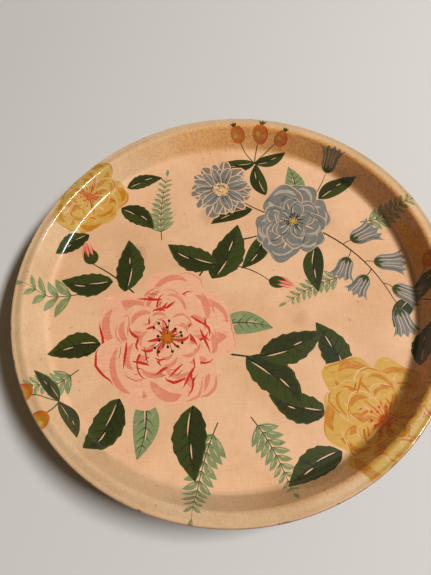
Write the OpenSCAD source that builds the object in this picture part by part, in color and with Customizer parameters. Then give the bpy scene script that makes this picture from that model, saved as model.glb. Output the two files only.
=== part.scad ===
// Folding tray table: a round moulded tray on two nested leg frames.
// The frames are bent from steel rod and cross like scissors. They lie folded
// flat under the tray, and swing down until the inner frame's top bar stops in
// two spring clips.
// Front is -Y, right is +X and up is +Z. The origin is the centre of the tray,
// on the surface that the folded table lies on.

/* [Tray] */
// Outside diameter of the tray across its lip
tray_d = 400; // [384:2:460]
// Depth of the tray from the lip's crest line to its floor
tray_depth = 24; // [18:1:34]
// How far the lip runs out from the wall's crest
lip_w = 11; // [9:0.5:16]
// How far the wall leans out between the floor and the crest
wall_run = 13; // [9:0.5:16]
// Radius of the fillet between the floor and the wall
floor_fillet = 8; // [4:0.5:11]
// How far the lip dips between its crest and its outer bead
lip_dip = 0.9; // [0.4:0.1:1.4]
// Thickness of the pressed core
core_t = 3.2; // [3:0.1:4.5]
// Thickness of the printed cloth in its resin
cloth_t = 0.6; // [0.4:0.1:1]
// Thickness of the backing sheet
backing_t = 0.6; // [0.4:0.1:1]

/* [Leg frames] */
// Diameter of the steel rod
rod_d = 8; // [7.5:0.25:9]
// Distance from a frame's top to the crossing
upper_arm = 120; // [104:1:124]
// Distance between the two frames' rods where they lie nested
nest_gap = 12; // [11.5:0.25:13]
// Distance between the outer frame's legs
outer_span = 174; // [150:2:180]
// Radius of the outer frame's bends
bend_r = 28; // [22:1:34]
// Place of the tray's pivots, out from the centre
pivot_x = 84; // [78:1:88]
// Angle that each frame opens to
open_angle = 50; // [40:1:55]
// Thickness of the outer frame's flattened ends
eye_t = 5; // [4:0.25:5.5]
// Depth of the flats pressed where the rods cross
flat_depth = 1; // [0.6:0.1:1.3]
// Diameter of the stretcher
stretcher_d = 6; // [5:0.5:7]
// Distance from the stretcher to the inner frame's feet
stretcher_rise = 36; // [26:1:50]

/* [Feet] */
// Outside diameter of the rubber feet
foot_d = 12; // [11.5:0.25:13]
// Length of a sleeve on the foot bar
sleeve_len = 26; // [18:1:32]
// Distance between the two sleeves' middles
sleeve_span = 84; // [60:2:86]
// Length of a cap on a leg's end
cap_len = 20; // [14:1:24]
// Rubber in front of the rod's end in a cap
cap_tip = 3; // [2:0.25:4]

/* [Hardware] */
// Diameter of the rivets' shanks
rivet_d = 4; // [3:0.25:4.5]
// Diameter of the rivets' heads
rivet_head_d = 7; // [6:0.25:7.5]
// Height of the rivets' heads
rivet_head_h = 1.4; // [1:0.1:1.6]
// Outside diameter of the spacer bushes
bush_d = 9; // [7:0.5:10]
// Thickness of the pivot brackets' plate
plate_t = 1.5; // [1.2:0.1:1.8]
// Thickness of the spring strip
strip_t = 1; // [0.8:0.05:1.1]
// Distance between a bracket's screws
bracket_span = 30; // [26:1:40]
// Width of a spring clip
clip_w = 18; // [16:1:24]
// Distance between the two clips' middles
clip_span = 84; // [60:2:88]
// Width of the storage catch
catch_w = 14; // [12:1:20]
// Diameter of the screws' shanks
screw_d = 2.6; // [2:0.1:3]
// Diameter of the screws' heads
screw_head_d = 4.8; // [4.4:0.1:5.4]
// Height of the screws' heads
screw_head_h = 1.2; // [1:0.05:1.2]
// Length of the screws with their heads
screw_len = 4.2; // [3.6:0.1:4.3]

/* [Clearances] */
// Clearance beside parts that move past each other
slide_gap = 0.3; // [0.2:0.05:0.4]
// Clearance on the radius of a pin in its hole
pin_gap = 0.05; // [0.02:0.01:0.08]
// Clearance between a bush and the rods' flats
bush_gap = 0.2; // [0.1:0.05:0.3]

/* [Hidden] */

// Which side of the table a piece is on
front = -1;
rear = 1;
sides = [front, rear];

// Fineness of round forms, and steps in a rounded corner of a profile
$fn = 64;
arc_steps = 10;
// How far a cutter reaches past the face it opens
past = 1;

// Heights: the folded rods lie in one plane. The tray's underside clears the feet, and a plate on
// it clears the rods.
rod_r = rod_d / 2;
rod_z = foot_d / 2;
under_z = rod_z + slide_gap + max(rod_r + plate_t, foot_d / 2);
sheet_t = backing_t + core_t + cloth_t;
floor_z = under_z + sheet_t;

// Tray radii, and the corners of its upper face from the centre out
tray_r = tray_d / 2;
crest_inner_r = 0.3;
crest_r = sheet_t + crest_inner_r;
groove_r = 3;
bead_w = 4.2;
bead_drop = 0.1;
bead_r = 1.8;
edge_r = 1.2;
cloth_wrap = 2.4;
cloth_end = tray_depth - bead_drop - cloth_wrap;
backing_trim = 1;
backing_r = tray_r - edge_r - backing_trim;
corners = [[0, 0],
           [tray_r - lip_w - wall_run, 0],
           [tray_r - lip_w, tray_depth],
           [tray_r - bead_w, tray_depth - lip_dip],
           [tray_r, tray_depth - bead_drop],
           [tray_r, cloth_end]];
corner_radii = [0, floor_fillet, crest_r, groove_r, bead_r, 0];

// Leg geometry, folded: everything lies on the plane z = rod_z
lower_arm = upper_arm + nest_gap;
crossing_x = pivot_x - upper_arm;
foot_bar_x = crossing_x - lower_arm;
top_bar_x = crossing_x - upper_arm;
inner_foot_x = crossing_x + lower_arm;
bend_x = foot_bar_x + bend_r;
outer_y = outer_span / 2;
inner_y = outer_y - nest_gap;
inner_bend_r = bend_r - nest_gap;
flat_len = 12;
flat_slope = 3;
cross_half_t = rod_r - flat_depth;
eye_len = 8;
eye_taper = 4;
bore_d = rivet_d + 2 * pin_gap;
open_bar_x = pivot_x - 2 * upper_arm * cos(open_angle);

// Pivot bracket: a strap with two ears pressed down from its middle
ear_gap = eye_t + 2 * slide_gap;
ear_rim = 3;
ear_w = rivet_d + 2 * ear_rim;
bracket_w = ear_gap + 2 * plate_t;
tab_rim = 3;
tab_r = screw_head_d / 2 + tab_rim;

// Spring clip and catch
jaw_gap = rod_d + 2 * slide_gap;
clip_arc_r = (under_z - strip_t - (rod_z - rod_r - slide_gap)) / 2;
clip_arc_z = under_z - strip_t - clip_arc_r;
clip_arc_x = rod_r + slide_gap - clip_arc_r;
jaw_reach = 2;
clip_mouth = rod_r + jaw_reach;
clip_tab = 4;
clip_screw_x = clip_arc_r + strip_t + clip_tab;
clip_screw_span = clip_w - 2 * clip_tab;
catch_drop = rod_r;
catch_screw_at = 16;
catch_screw_span = 10;
catch_len = catch_screw_at + catch_screw_span + clip_tab;
screw_hole_d = screw_d + 2 * pin_gap;
relief_d = screw_head_d - screw_head_h;
pilot_spare = 0.2;
pilot_depth = screw_len - strip_t - backing_t + pilot_spare;
screw_point = 0.6;

// Places of the screws on the underside
bracket_screws_at = [for (s = sides, e = [-1, 1]) [pivot_x + e * bracket_span / 2, s * outer_y]];
clip_screws_at = [for (s = sides, e = [-1, 1])
    [open_bar_x + clip_screw_x, s * clip_span / 2 + e * clip_screw_span / 2]];
catch_screws_at = [for (x = [0, catch_screw_span]) [foot_bar_x + catch_screw_at + x, 0]];

// ---- Profiles ----

function unit(v) = v / norm(v);
function left(v) = [-v[1], v[0]];

// Corner i of a line of corners after the whole line moves d to its left
function moved_corner(p, i, d) =
    let (a = unit(i > 0 ? p[i] - p[i - 1] : p[1] - p[0]),
         b = unit(i < len(p) - 1 ? p[i + 1] - p[i] : p[i] - p[i - 1]),
         n = unit(left(a) + left(b)))
    p[i] + n * d / (n * left(a));

// Points along the arc of radius r that rounds the corner b between a and c
function rounded(a, b, c, r) =
    let (u = unit(a - b), v = unit(c - b), half = acos(u * v) / 2,
         centre = b + unit(u + v) * r / sin(half),
         from = unit(b + u * r / tan(half) - centre),
         to = unit(b + v * r / tan(half) - centre),
         sweep = 180 - 2 * half)
    [for (k = [0:arc_steps])
        centre + r * (from * sin(sweep * (1 - k / arc_steps)) + to * sin(sweep * k / arc_steps))
                 / sin(sweep)];

// The first n corners of the upper face, moved down by depth and rounded
function sheet_face(depth, n) =
    let (p = [for (i = [0:n]) moved_corner(corners, i, -depth)])
    [p[0], for (i = [1:n - 1])
        let (bend = sign(cross(corners[i] - corners[i - 1], corners[i + 1] - corners[i])))
        each rounded(p[i - 1], p[i], p[i + 1], corner_radii[i] + bend * depth)];

function reversed(p) = [for (i = [len(p) - 1:-1:0]) p[i]];

// Height of the lip's underside at radius r, for a face moved down by depth
function lip_under(depth, r) =
    let (c = moved_corner(corners, 2, -depth), d = unit(corners[3] - corners[2]))
    c[1] + (r - c[0]) * d[1] / d[0];

// ---- Shared shapes ----

module revolve_sheet(points)
    translate([0, 0, floor_z]) rotate_extrude($fn = 180) polygon(points);

module along_x(length, d) rotate([0, 90, 0]) cylinder(d = d, h = length);

module along_y(length, d) rotate([-90, 0, 0]) cylinder(d = d, h = length, center = true);

// Extrudes a profile drawn in X and Z, centred along Y
module across_y(width) rotate([90, 0, 0]) linear_extrude(width, center = true) children();

// Draws what is made for the rear on the side asked for
module at_side(side) mirror([0, side < 0 ? 1 : 0, 0]) children();

// A bend of a frame at its rear left corner
module bend(r)
    translate([bend_x, outer_y - bend_r, rod_z])
        rotate([0, 0, 90]) rotate_extrude(angle = 90) translate([r, 0]) circle(d = rod_d);

// A U of rod: the bar at its left end, two bends and two legs out to leg_end
module rod_u(bar_x, leg_y, r, leg_end) {
    translate([bar_x, 0, rod_z]) along_y(2 * (leg_y - r), rod_d);
    for (s = sides) at_side(s) {
        bend(r);
        translate([bend_x, leg_y, rod_z]) along_x(leg_end - bend_x, rod_d);
    }
}

// Cutter for the flats on both sides of a leg where the rods cross
module crossing_flats(leg_y)
    for (e = [-1, 1])
        translate([crossing_x, leg_y, rod_z - rod_d / 2 - past]) linear_extrude(rod_d + 2 * past)
            polygon([[-flat_len / 2, e * cross_half_t], [flat_len / 2, e * cross_half_t],
                     [flat_len / 2 + flat_slope, e * (rod_r + past)],
                     [-flat_len / 2 - flat_slope, e * (rod_r + past)]]);

// A bore through both legs at x
module leg_bores(x) translate([x, 0, rod_z]) along_y(outer_span + 4 * rod_d, bore_d);

// A flat-head screw, driven up, with its head's face at the origin
module screw()
    rotate_extrude() polygon([[0, 0], [screw_head_d / 2, 0], [screw_d / 2, screw_head_h],
                              [screw_d / 2, screw_len - screw_point], [screw_d / 4, screw_len], [0, screw_len]]);

module screws(places, head_z)
    for (p = places) translate([p[0], p[1], head_z]) screw();

// A countersunk hole through a plate whose lower face is at head_z
module screw_holes(places, head_z)
    for (p = places) translate([p[0], p[1], head_z - past])
        rotate_extrude() polygon([[0, 0], [screw_head_d / 2 + pin_gap, 0],
                                  [screw_head_d / 2 + pin_gap, past],
                                  [screw_hole_d / 2, past + screw_head_h],
                                  [screw_hole_d / 2, past + screw_len], [0, past + screw_len]]);

// A domed rivet along Y with a head on each end of its grip
module rivet(grip)
    rotate([-90, 0, 0]) rotate_extrude()
        polygon([[0, -grip / 2 - rivet_head_h],
                 for (k = [0:4]) let (a = 90 * k / 4)
                     [rivet_head_d / 4 * (1 + sin(a)), -grip / 2 - rivet_head_h * cos(a)],
                 [rivet_d / 2, -grip / 2], [rivet_d / 2, grip / 2],
                 for (k = [4:-1:0]) let (a = 90 * k / 4)
                     [rivet_head_d / 4 * (1 + sin(a)), grip / 2 + rivet_head_h * cos(a)],
                 [0, grip / 2 + rivet_head_h]]);

// ---- Tray ----

module pilot_holes(d, height)
    for (p = concat(bracket_screws_at, clip_screws_at, catch_screws_at))
        translate([p[0], p[1], under_z - past]) cylinder(d = d, h = height + past);

module tray_core() color("saddlebrown")
    difference() {
        revolve_sheet(concat(
            sheet_face(cloth_t, 5),
            [[tray_r - cloth_t, cloth_end], [tray_r, cloth_end]],
            rounded([tray_r, cloth_end], [tray_r, lip_under(cloth_t + core_t, tray_r)],
                    [tray_r - lip_w, lip_under(cloth_t + core_t, tray_r - lip_w)], edge_r),
            reversed(sheet_face(cloth_t + core_t, 3))));
        pilot_holes(screw_hole_d, backing_t + pilot_depth);
    }

module printed_cloth() color("peachpuff")
    revolve_sheet(concat(
        sheet_face(0, 5), [[tray_r, cloth_end], [tray_r - cloth_t, cloth_end]],
        reversed(sheet_face(cloth_t, 5))));

module backing_sheet() color("sienna")
    difference() {
        revolve_sheet(concat(
            sheet_face(cloth_t + core_t, 3),
            [[backing_r, lip_under(cloth_t + core_t, backing_r)],
             [backing_r, lip_under(sheet_t, backing_r)]],
            reversed(sheet_face(sheet_t, 3))));
        pilot_holes(relief_d, backing_t + past);
    }

// ---- Hardware under the tray ----

// Section across a bracket: a U with bent corners, open downwards
module bracket_section() {
    top = under_z - rod_z;
    drop = top + ear_w / 2;
    difference() {
        union() {
            translate([-bracket_w / 2, top - drop]) square([bracket_w, drop - plate_t]);
            translate([-bracket_w / 2 + plate_t, top - plate_t])
                square([bracket_w - 2 * plate_t, plate_t]);
            for (e = [-1, 1]) translate([e * (bracket_w / 2 - plate_t), top - plate_t]) circle(r = plate_t);
        }
        translate([-ear_gap / 2, top - drop - past]) square([ear_gap, drop - plate_t + past]);
    }
}

// Outline of the ears seen from the side
module ear_outline() {
    circle(d = ear_w);
    translate([-ear_w / 2, 0]) square([ear_w, under_z - rod_z]);
}

module pivot_bracket(side) color("silver")
    difference() {
        translate([pivot_x, side * outer_y, rod_z]) union() {
            intersection() {
                rotate([90, 0, 90]) linear_extrude(ear_w, center = true) bracket_section();
                across_y(bracket_w) ear_outline();
            }
            translate([0, 0, under_z - rod_z - plate_t]) linear_extrude(plate_t) {
                for (e = [-1, 1]) translate([e * bracket_span / 2, 0]) circle(r = tab_r);
                square([bracket_span, bracket_w - 2 * plate_t], center = true);
            }
        }
        translate([pivot_x, side * outer_y, rod_z]) along_y(bracket_w + 2 * past, bore_d);
        screw_holes(bracket_screws_at, under_z - plate_t);
    }

module bracket_screws() color("gainsboro") screws(bracket_screws_at, under_z - plate_t);

module pivot_rivet(side) color("gainsboro")
    translate([pivot_x, side * outer_y, rod_z]) rivet(bracket_w);

// Section of a clip, with the open bar's axis at X = 0: a tab, a round back and a lower jaw
module clip_section() {
    translate([clip_arc_x, clip_arc_z]) difference() {
        circle(r = clip_arc_r + strip_t);
        circle(r = clip_arc_r);
        translate([-2 * clip_arc_r, -2 * clip_arc_r]) square([2 * clip_arc_r, 4 * clip_arc_r]);
    }
    translate([-clip_mouth, clip_arc_z - clip_arc_r - strip_t])
        square([clip_mouth + clip_arc_x, strip_t]);
    translate([-clip_mouth, under_z - strip_t])
        square([clip_mouth + clip_screw_x + clip_tab, strip_t]);
}

module bar_clip(side) color("silver")
    difference() {
        translate([open_bar_x, side * clip_span / 2, 0]) across_y(clip_w) clip_section();
        screw_holes(clip_screws_at, under_z - strip_t);
    }

module clip_screws() color("gainsboro") screws(clip_screws_at, under_z - strip_t);

// Section of the catch, with the foot bar's axis at X = 0: a strip that turns down into a hoop
module catch_section() {
    translate([0, rod_z]) difference() {
        circle(r = jaw_gap / 2 + strip_t);
        circle(r = jaw_gap / 2);
        translate([-rod_d, -2 * rod_d]) square([2 * rod_d, 2 * rod_d]);
    }
    for (e = [0, 1]) translate([e ? jaw_gap / 2 : -jaw_gap / 2 - strip_t, rod_z - catch_drop])
        square([strip_t, catch_drop]);
    translate([0, rod_z + jaw_gap / 2]) square([strip_t, under_z - rod_z - jaw_gap / 2]);
    translate([0, under_z - strip_t]) square([catch_len, strip_t]);
}

module storage_catch() color("silver")
    difference() {
        translate([foot_bar_x, 0, 0]) across_y(catch_w) catch_section();
        screw_holes(catch_screws_at, under_z - strip_t);
    }

module catch_screws() color("gainsboro") screws(catch_screws_at, under_z - strip_t);

// ---- Outer frame ----

// Cutter for one side of a flattened end: flat at the eye, sloping out to the round rod
module eye_side(e)
    translate([pivot_x, outer_y, rod_z - rod_d]) linear_extrude(2 * rod_d)
        polygon([[rod_d, e * eye_t / 2], [-eye_len, e * eye_t / 2],
                 [-eye_len - eye_taper, e * (rod_r + past / 2)], [-eye_len - eye_taper, e * rod_d],
                 [rod_d, e * rod_d]]);

module outer_frame() color("dimgray")
    difference() {
        union() {
            rod_u(foot_bar_x, outer_y, bend_r, pivot_x);
            for (s = sides) translate([pivot_x, s * outer_y, rod_z]) along_y(rod_d, rod_d);
        }
        for (s = sides) at_side(s) {
            eye_side(1);
            eye_side(-1);
            crossing_flats(outer_y);
        }
        leg_bores(crossing_x);
        leg_bores(pivot_x);
    }

module foot_sleeve(side) color("darkslategray")
    translate([foot_bar_x, side * sleeve_span / 2, rod_z]) rotate([-90, 0, 0])
        rotate_extrude() {
            inner = rod_r + pin_gap;
            outer = foot_d / 2;
            half = sleeve_len / 2;
            groove = 0.5;
            polygon([[inner, -half], [outer - groove, -half], [outer, -half + groove],
                     for (x = [-half / 2, 0, half / 2])
                         each [[outer, x - 2 * groove], [outer - groove, x - groove],
                               [outer - groove, x + groove], [outer, x + 2 * groove]],
                     [outer, half - groove], [outer - groove, half], [inner, half]]);
        }

module crossing_rivet(side) color("gainsboro") {
    grip = nest_gap + 2 * cross_half_t + bush_gap;
    translate([crossing_x, side * (outer_y + cross_half_t - grip / 2), rod_z]) rivet(grip);
}

module spacer_bush(side) color("ivory") {
    length = nest_gap - 2 * cross_half_t - 2 * bush_gap;
    translate([crossing_x, side * (outer_y + inner_y) / 2, rod_z]) difference() {
        along_y(length, bush_d);
        along_y(length + 2 * past, bore_d);
    }
}

// ---- Inner frame ----

module inner_frame() color("dimgray")
    difference() {
        rod_u(top_bar_x, inner_y, inner_bend_r, inner_foot_x + foot_d / 2 - cap_tip);
        for (s = sides) at_side(s) crossing_flats(inner_y);
        leg_bores(crossing_x);
    }

module stretcher() color("dimgray")
    difference() {
        translate([inner_foot_x - stretcher_rise, 0, rod_z]) along_y(2 * inner_y, stretcher_d);
        for (s = sides) translate([0, s * inner_y, rod_z]) along_x(inner_foot_x, rod_d + 2 * pin_gap);
    }

module foot_cap(side) color("darkslategray")
    translate([inner_foot_x, side * inner_y, rod_z]) rotate([0, 90, 0])
        rotate_extrude() {
            outer = foot_d / 2;
            inner = rod_r + pin_gap;
            mouth = outer - cap_len;
            lip = 0.8;
            polygon([[0, outer - cap_tip + pin_gap], [inner, outer - cap_tip + pin_gap], [inner, mouth],
                     [outer - lip, mouth], [outer, mouth + lip], [outer, mouth + 3 * lip],
                     [outer - lip / 2, mouth + 4 * lip], [outer, mouth + 5 * lip],
                     for (k = [0:arc_steps]) let (a = 90 * k / arc_steps) [outer * cos(a), outer * sin(a)]]);
        }

// ---- The nodes ----

tray_core();
printed_cloth();
backing_sheet();
pivot_bracket(front);  // pivot_bracket_front
pivot_bracket(rear);  // pivot_bracket_rear
bracket_screws();
pivot_rivet(front);  // pivot_rivet_front
pivot_rivet(rear);  // pivot_rivet_rear
bar_clip(front);  // bar_clip_front
bar_clip(rear);  // bar_clip_rear
clip_screws();
storage_catch();
catch_screws();
outer_frame();
foot_sleeve(front);  // foot_sleeve_front
foot_sleeve(rear);  // foot_sleeve_rear
crossing_rivet(front);  // crossing_rivet_front
crossing_rivet(rear);  // crossing_rivet_rear
spacer_bush(front);  // spacer_bush_front
spacer_bush(rear);  // spacer_bush_rear
inner_frame();
stretcher();
foot_cap(front);  // foot_cap_front
foot_cap(rear);  // foot_cap_rear
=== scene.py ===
import cmath
import math
import random

import bpy
from bpy.props import FloatProperty, FloatVectorProperty, IntProperty, PointerProperty
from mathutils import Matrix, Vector
from mathutils.geometry import delaunay_2d_cdt


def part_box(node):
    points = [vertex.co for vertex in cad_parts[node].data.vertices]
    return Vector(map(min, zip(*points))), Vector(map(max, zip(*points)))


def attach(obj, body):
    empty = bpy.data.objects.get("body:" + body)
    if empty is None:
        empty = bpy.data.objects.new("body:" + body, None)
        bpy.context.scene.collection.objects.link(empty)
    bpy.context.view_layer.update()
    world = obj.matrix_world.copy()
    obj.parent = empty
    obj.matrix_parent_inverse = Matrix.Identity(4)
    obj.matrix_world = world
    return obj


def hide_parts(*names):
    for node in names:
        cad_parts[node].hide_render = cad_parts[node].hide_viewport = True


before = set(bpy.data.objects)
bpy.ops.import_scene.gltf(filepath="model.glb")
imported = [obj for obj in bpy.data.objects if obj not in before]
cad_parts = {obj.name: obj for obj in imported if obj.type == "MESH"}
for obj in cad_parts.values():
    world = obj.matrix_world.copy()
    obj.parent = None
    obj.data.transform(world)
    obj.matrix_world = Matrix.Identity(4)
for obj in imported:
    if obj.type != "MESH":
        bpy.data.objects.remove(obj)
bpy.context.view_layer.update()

bl_info = {
    "name": "Folding Tray Table",
    "version": (1, 0, 0),
    "blender": (4, 5, 0),
    "location": "View3D > Sidebar > Tray Table",
    "description": "Prints and finishes a round moulded tray on folding leg frames",
    "category": "Object",
}

MM = 0.001
FLOOR_SIZE = 6.0
# Points of the flat cloth that lie closer than this become one.
MERGE = 1e-6

# The tray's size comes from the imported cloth, whose lowest face is the floor's underside.
CLOTH_LOW, CLOTH_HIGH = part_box("printed_cloth")
TRAY_RADIUS = CLOTH_HIGH.x


# ---- What a user would change ----

def length_property(name, about, default):
    return FloatProperty(name=name, description=about, default=default, unit="LENGTH", precision=5)


def angle_property(name, about, degrees):
    return FloatProperty(name=name, description=about, default=math.radians(degrees), subtype="ANGLE",
                         unit="ROTATION")


def colour_property(name, about, default):
    return FloatVectorProperty(name=name, description=about, default=default, subtype="COLOR",
                               size=3, min=0, max=1)


class TrayFormSettings(bpy.types.PropertyGroup):
    """Section of the tray's printed face, as the solid has it."""
    depth: length_property("Depth", "Depth of the tray from the crest line to the floor", 24 * MM)
    lip: length_property("Lip", "How far the lip runs out from the crest", 11 * MM)
    wall: length_property("Wall", "How far the wall leans out between floor and crest", 13 * MM)
    fillet: length_property("Fillet", "Radius between the floor and the wall", 8 * MM)
    crest: length_property("Crest", "Radius over the wall's crest", 4.7 * MM)
    groove: length_property("Groove", "Radius of the groove along the lip", 3 * MM)
    bead: length_property("Bead", "Radius of the lip's outer bead", 1.8 * MM)
    bead_width: length_property("Bead width", "Distance from the groove to the rim", 4.2 * MM)
    dip: length_property("Dip", "Depth of the groove under the crest line", 0.9 * MM)
    drop: length_property("Drop", "How far the bead's corner lies under the crest line", 0.1 * MM)
    wrap: length_property("Wrap", "How far the cloth comes down the rim's face", 2.4 * MM)
    cloth: length_property("Cloth", "Thickness of the printed cloth in its resin", 0.6 * MM)
    rounds: IntProperty(name="Rounds", description="Steps round the tray", default=192, min=64)


class PrintSettings(bpy.types.PropertyGroup):
    """Colours of the printed cloth."""
    seed: IntProperty(name="Seed", description="Picks the hand-drawn unevenness", default=7)
    ground: colour_property("Ground", "Cream ground of the cloth", (0.71, 0.43, 0.25))
    aged: colour_property("Aged ground", "Ground where the resin has browned", (0.56, 0.30, 0.145))
    stain: colour_property("Stain", "Old stains in the floor", (0.25, 0.13, 0.07))
    blush: colour_property("Blush", "Pale wash of the coral bloom", (0.73, 0.375, 0.228))
    coral: colour_property("Coral", "Brushed patches of the coral bloom", (0.64, 0.215, 0.125))
    crimson: colour_property("Crimson", "Strokes in the coral bloom", (0.50, 0.022, 0.010))
    slate: colour_property("Slate", "Wash of the blue flowers", (0.168, 0.160, 0.138))
    mist: colour_property("Mist", "Pale patches of the blue flowers", (0.36, 0.315, 0.245))
    straw: colour_property("Straw", "Pale wash of the yellow flowers", (0.54, 0.31, 0.058))
    gold: colour_property("Gold", "Brushed patches of the yellow flowers", (0.47, 0.18, 0.012))
    rust: colour_property("Rust", "Strokes in the yellow flowers, and the hips", (0.50, 0.125, 0.008))
    moss: colour_property("Moss", "Leaves", (0.034, 0.046, 0.007))
    olive: colour_property("Olive", "Shaded side of the leaves, and stems", (0.021, 0.028, 0.004))
    sage: colour_property("Sage", "Ferns", (0.19, 0.235, 0.100))
    accent: colour_property("Accent", "Fine dark strokes", (0.010, 0.010, 0.007))


class FinishSettings(bpy.types.PropertyGroup):
    """Colours of all that lies round and under the printed face."""
    core: colour_property("Core", "Pale fibres of the pressed core", (0.20, 0.095, 0.038))
    core_dark: colour_property("Dark core", "Dark fibres of the pressed core", (0.075, 0.032, 0.012))
    backing: colour_property("Backing", "Pale mottling of the backing sheet", (0.17, 0.082, 0.036))
    backing_dark: colour_property("Dark backing", "Dark mottling of the sheet", (0.105, 0.045, 0.018))
    backing_rubbed: colour_property("Rubbed backing", "Rub marks on the backing sheet", (0.24, 0.14, 0.075))
    enamel: colour_property("Enamel", "Black enamel of the leg frames", (0.016, 0.016, 0.017))
    enamel_dusty: colour_property("Dusty enamel", "Enamel where dust has dulled it", (0.035, 0.033, 0.031))
    enamel_nicked: colour_property("Nicks", "Steel in the enamel's nicks", (0.30, 0.28, 0.26))
    plating: colour_property("Plating", "Brackets and rivets", (0.62, 0.60, 0.55))
    spring: colour_property("Spring steel", "Clips and catch", (0.36, 0.35, 0.33))
    zinc: colour_property("Zinc", "Screws", (0.55, 0.54, 0.51))
    rubber: colour_property("Rubber", "Feet", (0.022, 0.021, 0.020))
    rubber_scuffed: colour_property("Scuffed rubber", "Feet where they are scuffed", (0.085, 0.080, 0.075))
    nylon: colour_property("Nylon", "Bushes between the legs", (0.70, 0.66, 0.54))
    nylon_aged: colour_property("Aged nylon", "Bushes where they have yellowed", (0.58, 0.50, 0.36))


class HardwareSettings(bpy.types.PropertyGroup):
    """Forms of the small hardware that the solid model leaves plain."""
    head: length_property("Screw head", "Height of a screw's countersunk head", 1.2 * MM)
    shank: length_property("Screw shank", "Diameter of a screw's shank", 2.6 * MM)
    recess: length_property("Recess", "Reach of the crossed recess in a screw's head", 2.9 * MM)
    blade: length_property("Recess blade", "Width of each blade of the recess", 0.75 * MM)
    weld: length_property("Weld", "Thickness of the weld beads", 1.9 * MM)


class StageSettings(bpy.types.PropertyGroup):
    """Camera, lamps and floor."""
    focal: FloatProperty(name="Focal length", description="On a frame of 36 mm", default=28.17,
                         unit="CAMERA")
    place: FloatVectorProperty(name="Camera place", description="Where the camera stands", size=3,
                               subtype="TRANSLATION", unit="LENGTH", default=(0.0, -0.1830, 0.4072))
    turn: FloatVectorProperty(name="Camera turn", description="How the camera is turned", size=3,
                              subtype="EULER", unit="ROTATION",
                              default=[math.radians(degrees) for degrees in (25.577, 3.982, -4.748)])
    key_distance: length_property("Key distance", "From the tray to the key lamp", 3.2)
    key_height: angle_property("Key height", "How high the key lamp stands over the floor", 50)
    key_turn: angle_property("Key turn", "How far the key lamp stands from the right", -7)
    key_width: length_property("Key width", "Width of the key lamp", 1.4)
    key_depth: length_property("Key depth", "Depth of the key lamp", 0.42)
    key_power: FloatProperty(name="Key power", description="Power of the key lamp", default=144.0,
                             unit="POWER")
    fill: FloatProperty(name="Fill", description="Strength of the soft light all round", default=0.15)
    warmth: colour_property("Warmth", "Colour of the soft light", (1.0, 0.70, 0.38))
    floor: colour_property("Floor", "Colour of the floor", (0.53, 0.515, 0.50))
    backdrop: colour_property("Backdrop", "Colour that shows beyond the floor", (0.60, 0.57, 0.535))


# ---- Shader sums ----

class Value:
    """An output of a shader node. A sum on it adds its Math node."""

    def __init__(self, nodes, socket):
        self.nodes = nodes
        self.socket = socket

    def join(self, operation, first, second):
        return self.nodes.add("ShaderNodeMath", {"operation": operation}, {0: first, 1: second})

    def __add__(self, other):
        return self.join("ADD", self, other)

    def __sub__(self, other):
        return self.join("SUBTRACT", self, other)

    def __rsub__(self, other):
        return self.join("SUBTRACT", other, self)

    def __mul__(self, other):
        return self.join("MULTIPLY", self, other)

    def __or__(self, other):
        return self.join("MAXIMUM", self, other)

    __radd__ = __add__


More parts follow.
